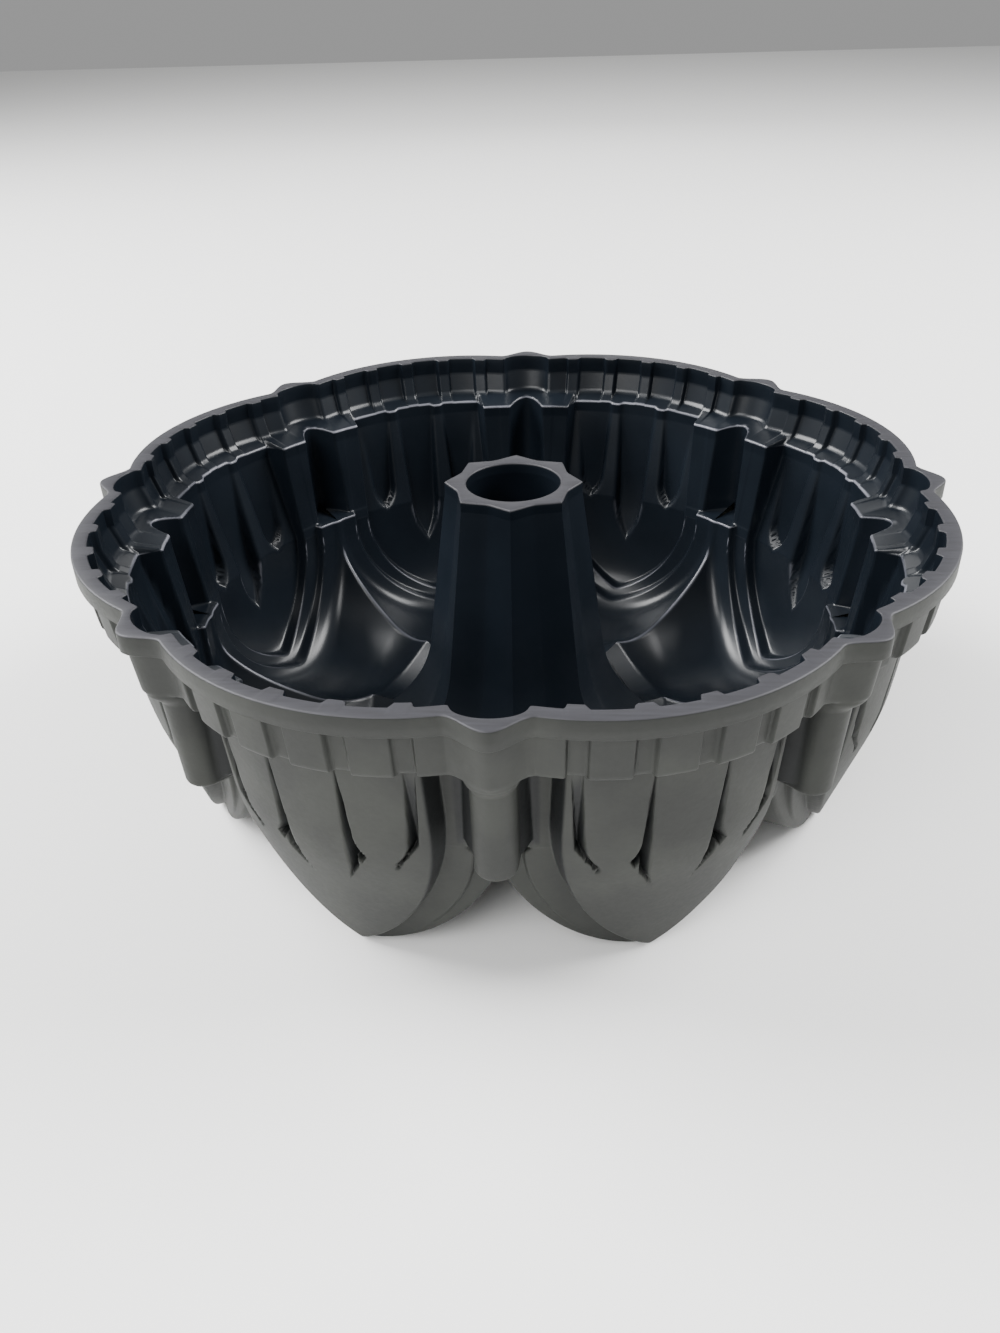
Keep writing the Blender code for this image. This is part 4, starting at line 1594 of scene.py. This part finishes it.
@dataclass
class TubeCasting:
    """The fluted tube with its flared foot, and the ground star on its mouth."""

    casting: Casting
    offsets: np.ndarray
    top: float = 0.6
    tip_top: float = 20.5
    valley_top: float = 17.5
    tip_foot: float = 28.0
    valley_foot: float = 24.5
    foot: float = 57.0
    bore: float = 14.0
    wall: float = 3.2
    collar: float = 3.2
    edge: float = 0.5
    # The flutes' sides are this power of the share of the way to a tip, so they are hollow
    flute_power: float = 1.6
    wall_points: int = 22
    flare_points: int = 15
    flare_pull: float = 0.45
    # The wall's slope out per millimetre down, where the flare starts
    flare_lean: float = 0.17
    # The floor is looked for from above, and from below for the painted side
    search_above: float = 60.0
    search_below: float = 110.0
    search_steps: int = 60
    collar_lining_rows: int = 2
    collar_ground_rows: int = 7

    def fluted(self, tip: np.ndarray, valley: np.ndarray) -> np.ndarray:
        """Return a fluted radius: tips face the columns, and hollow sides lie between them."""
        share = np.abs(self.offsets[:-1]) / self.casting.layout.half_pitch
        return blend(valley, tip, share ** self.flute_power)

    def floor(self, outside: bool) -> np.ndarray:
        """Find the bays' floor at the tube's outer edge, on one side of the wall.

        Args:
            outside: True for the painted side.

        Returns:
            The floor's depth at each offset.
        """
        arches = self.casting.arches
        angle = np.radians(self.offsets[:-1])
        gap = self.casting.envelope if outside else self.casting.hollow
        x, v = arches.lobe_inner * np.sin(angle), arches.lobe_inner * np.cos(angle)
        depth = np.full(angle.size, self.search_below if outside else self.search_above)
        for _ in range(self.search_steps):
            depth = depth + STRIDE * gap(x, v, depth)
        return depth

    def make_tube(self, materials: list[bpy.types.Material]) -> bpy.types.Object:
        """Make the tube: a fluted wall, a curve that flares into the bays' floor, and the bore.

        The flare is a cubic curve from the wall's foot to the floor, tangent to both.

        Args:
            materials: The pan's materials.

        Returns:
            The piece.
        """
        arches = self.casting.arches
        start = self.top + self.collar
        shares = np.linspace(0.0, 1.0, self.wall_points)[:, None]
        wall_radius = blend(self.fluted(self.tip_top, self.valley_top)[None, :],
                            self.fluted(self.tip_foot, self.valley_foot)[None, :], shares)
        wall_depth = np.broadcast_to(blend(start, self.foot, shares), wall_radius.shape)
        slope = 2.0 * arches.lobe_rise / (arches.lobe_level - arches.lobe_inner)
        flare = self.flare(wall_radius[-1], self.floor(False), slope)
        hole = self.valley_foot - self.wall
        bore_radius = np.broadcast_to(blend(self.bore, hole, shares), wall_radius.shape)
        under = self.flare(bore_radius[-1], self.floor(True), slope)
        radius = np.concatenate([bore_radius, under[0], flare[0][::-1], wall_radius[::-1]])
        depth = np.concatenate([wall_depth, under[1], flare[1][::-1], wall_depth[::-1]])
        kinds = np.full(len(radius), Face.LINING.value)
        kinds[len(bore_radius):len(bore_radius) + len(under[0])] = Face.PAINT.value
        return Section(radius, depth, kinds, False).revolve(
            "tube_casting", self.casting.layout, self.offsets[:-1], materials[:2])

    def flare(self, near: np.ndarray, floor: np.ndarray,
              slope: float) -> tuple[np.ndarray, np.ndarray]:
        """Return a cubic curve from the tube's wall to the floor, without its first point.

        Args:
            near: The wall's radius at its foot.
            floor: The floor's depth at the tube's outer edge.
            slope: The floor's fall per millimetre outwards there.

        Returns:
            The radii and depths of the curve's points.
        """
        edge = self.casting.arches.lobe_inner
        pull = self.flare_pull * (floor - self.foot)
        last = self.flare_pull * (edge - near)
        share = np.linspace(0.0, 1.0, self.flare_points)[1:, None]
        weights = ((1 - share) ** 3, 3 * (1 - share) ** 2 * share, 3 * (1 - share) * share ** 2,
                   share ** 3)
        radii = (near, near + self.flare_lean * pull, edge - last, np.full_like(near, edge))
        depths = (np.full_like(near, self.foot), self.foot + pull, floor - slope * last, floor)
        return (sum(w * r for w, r in zip(weights, radii)),
                sum(w * d for w, d in zip(weights, depths)))

    def make_star(self, materials: list[bpy.types.Material]) -> bpy.types.Object:
        """Make the ground star round the tube's mouth, with its edges broken.

        Args:
            materials: The pan's materials.

        Returns:
            The piece.
        """
        inset, sink = (part[:, None] for part in broken_edge(self.edge))
        outer = self.fluted(self.tip_top, self.valley_top)[None, :]
        hole = np.full_like(outer, self.bore)
        foot = self.top + self.collar
        radius = np.concatenate([hole, hole, hole + inset, (outer - inset)[::-1], outer, outer])
        depth = np.concatenate([[[foot]], [[foot / 2.0]], self.top + sink, (self.top + sink)[::-1],
                                [[foot / 2.0]], [[foot]]])
        kinds = np.full(len(radius), Face.GROUND.value)
        kinds[:self.collar_lining_rows] = Face.LINING.value
        kinds[self.collar_lining_rows + self.collar_ground_rows:] = Face.LINING.value
        section = Section(radius, np.broadcast_to(depth, radius.shape), kinds, True)
        return section.revolve("star_collar", self.casting.layout, self.offsets[:-1], materials)


# Studio


@dataclass(frozen=True)
class Lamp:
    """One soft square lamp that looks at the pan, in metres and watts."""

    name: str
    place: tuple[float, float, float]
    size: float
    power: float
    aim_height: float = 0.05

    def make(self) -> None:
        """Add the lamp to the scene, turned to the middle of the pan."""
        data = bpy.data.lights.new(self.name, "AREA")
        data.size = self.size
        data.energy = self.power
        item = bpy.data.objects.new(self.name, data)
        x, y, z = self.place
        item.location = self.place
        item.rotation_euler = (math.atan2(math.hypot(x, y), z - self.aim_height), 0.0,
                               math.atan2(x, -y))
        bpy.context.scene.collection.objects.link(item)


@dataclass(frozen=True)
class Studio:
    """The camera that took the photograph, a pale floor and soft light.

    Angles are in degrees. The camera's distance and aim are in millimetres, and the room's sizes,
    the lamps' and the camera's clips are in metres.
    """

    focal_px: float = 1084.28
    long_side_px: float = 1333.0
    sensor_mm: float = 36.0
    distance: float = 325.1
    elevation: float = 23.351
    turn: float = 2.9803
    pitch: float = -9.7734
    yaw: float = -0.9182
    roll: float = -1.7894
    aim_height: float = 94.0
    clip_near: float = 0.01
    clip_far: float = 20.0
    floor_half: float = 3.0
    lamps: tuple[Lamp, ...] = (
        Lamp("lamp_left", (-1.2, 0.3, 1.1), size=0.9, power=64.0),
        Lamp("lamp_right", (1.2, 0.3, 1.1), size=0.9, power=50.0),
        Lamp("lamp_back", (0.0, 1.4, 0.6), size=0.5, power=1.5),
        Lamp("lamp_front", (-0.7, -1.25, 1.3), size=1.2, power=36.0),
    )
    surround: float = 0.34

    def axes(self) -> tuple[np.ndarray, np.ndarray, np.ndarray, np.ndarray]:
        """Return the camera's place and its right, up and forward directions.

        The camera stands at its distance and elevation before the rim's middle, looks at it, is
        pitched, yawed and rolled, and is turned round the pan's axis.

        Returns:
            The place in millimetres and three unit vectors.
        """
        rise = math.radians(self.elevation)
        pitch, yaw, roll = (math.radians(v) for v in (self.pitch, self.yaw, self.roll))
        place = self.distance * np.array([0.0, -math.cos(rise), math.sin(rise)])
        upright = np.array([0.0, 0.0, 1.0])
        forward = unit(-place)
        right = unit(np.cross(forward, upright))
        up = np.cross(right, forward)
        forward = unit(forward * math.cos(pitch) * math.cos(yaw) + up * math.sin(pitch)
                       + right * math.sin(yaw) * math.cos(pitch))
        level = unit(np.cross(forward, upright))
        top = np.cross(level, forward)
        right = level * math.cos(roll) + top * math.sin(roll)
        up = -level * math.sin(roll) + top * math.cos(roll)
        about = turn_about_axis(self.turn)
        place = about @ place + np.array([0.0, 0.0, self.aim_height])
        return place, about @ right, about @ up, about @ forward

    def make_camera(self) -> None:
        """Add the camera and make it the scene's own."""
        place, right, up, forward = self.axes()
        data = bpy.data.cameras.new("camera")
        data.sensor_width = self.sensor_mm
        data.lens = self.focal_px * self.sensor_mm / self.long_side_px
        data.clip_start = self.clip_near
        data.clip_end = self.clip_far
        item = bpy.data.objects.new("camera", data)
        frame = np.eye(4)
        frame[:3, 0], frame[:3, 1], frame[:3, 2] = right, up, -forward
        frame[:3, 3] = place * MM
        item.matrix_world = Matrix(frame.tolist())
        bpy.context.scene.collection.objects.link(item)
        bpy.context.scene.camera = item

    def make(self) -> None:
        """Add the floor, the lamps, the surrounding light and the camera."""
        half = self.floor_half
        points = np.array([[-half, -half, 0], [half, -half, 0], [half, half, 0], [-half, half, 0]])
        floor = build_mesh("paper_floor", points, np.array([[0, 1, 2, 3]]), np.zeros(1),
                           [PaperSweep().make()])
        for lamp in self.lamps:
            lamp.make()
        world = bpy.data.worlds.new("studio_light")
        world.use_nodes = True
        light = world.node_tree.nodes["Background"]
        light.inputs["Color"].default_value = (1.0, 1.0, 1.0, 1.0)
        light.inputs["Strength"].default_value = self.surround
        bpy.context.scene.world = world
        self.make_camera()


def settle(item: bpy.types.Object, nodes: list[str]) -> None:
    """Put a piece on the pan's one body, in the place of its solids.

    Args:
        item: The piece.
        nodes: The solids that it stands for.
    """
    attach(item, "root")
    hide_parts(*nodes)
    LOG.info("%s: %d faces, for %s", item.name, len(item.data.polygons), ", ".join(nodes))


def main() -> None:
    """Build the pan's pieces in order, then the studio round them."""
    logging.basicConfig(level=logging.INFO, format="%(name)s: %(message)s")
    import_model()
    layout = Layout()
    rim = RimOutline(layout)
    casting = Casting(layout, Band(rim), Arches(), Mullions(), Piers(layout))
    materials = Finishes().make()
    bay = BayCasting(casting)
    for index in range(layout.bays):
        number = index + 1
        settle(bay.make(index, materials), [f"bay_{number}", f"column_{number}"])
    settle(RimFlange(rim, bay.offsets).make(materials),
           ["rim_flange", "pleated_band"])
    tube = TubeCasting(casting, bay.offsets[::TUBE_STRIDE])
    settle(tube.make_tube(materials), ["centre_tube"])
    settle(tube.make_star(materials), ["tube_collar"])
    Studio().make()


if __name__ == "__main__":
    main()
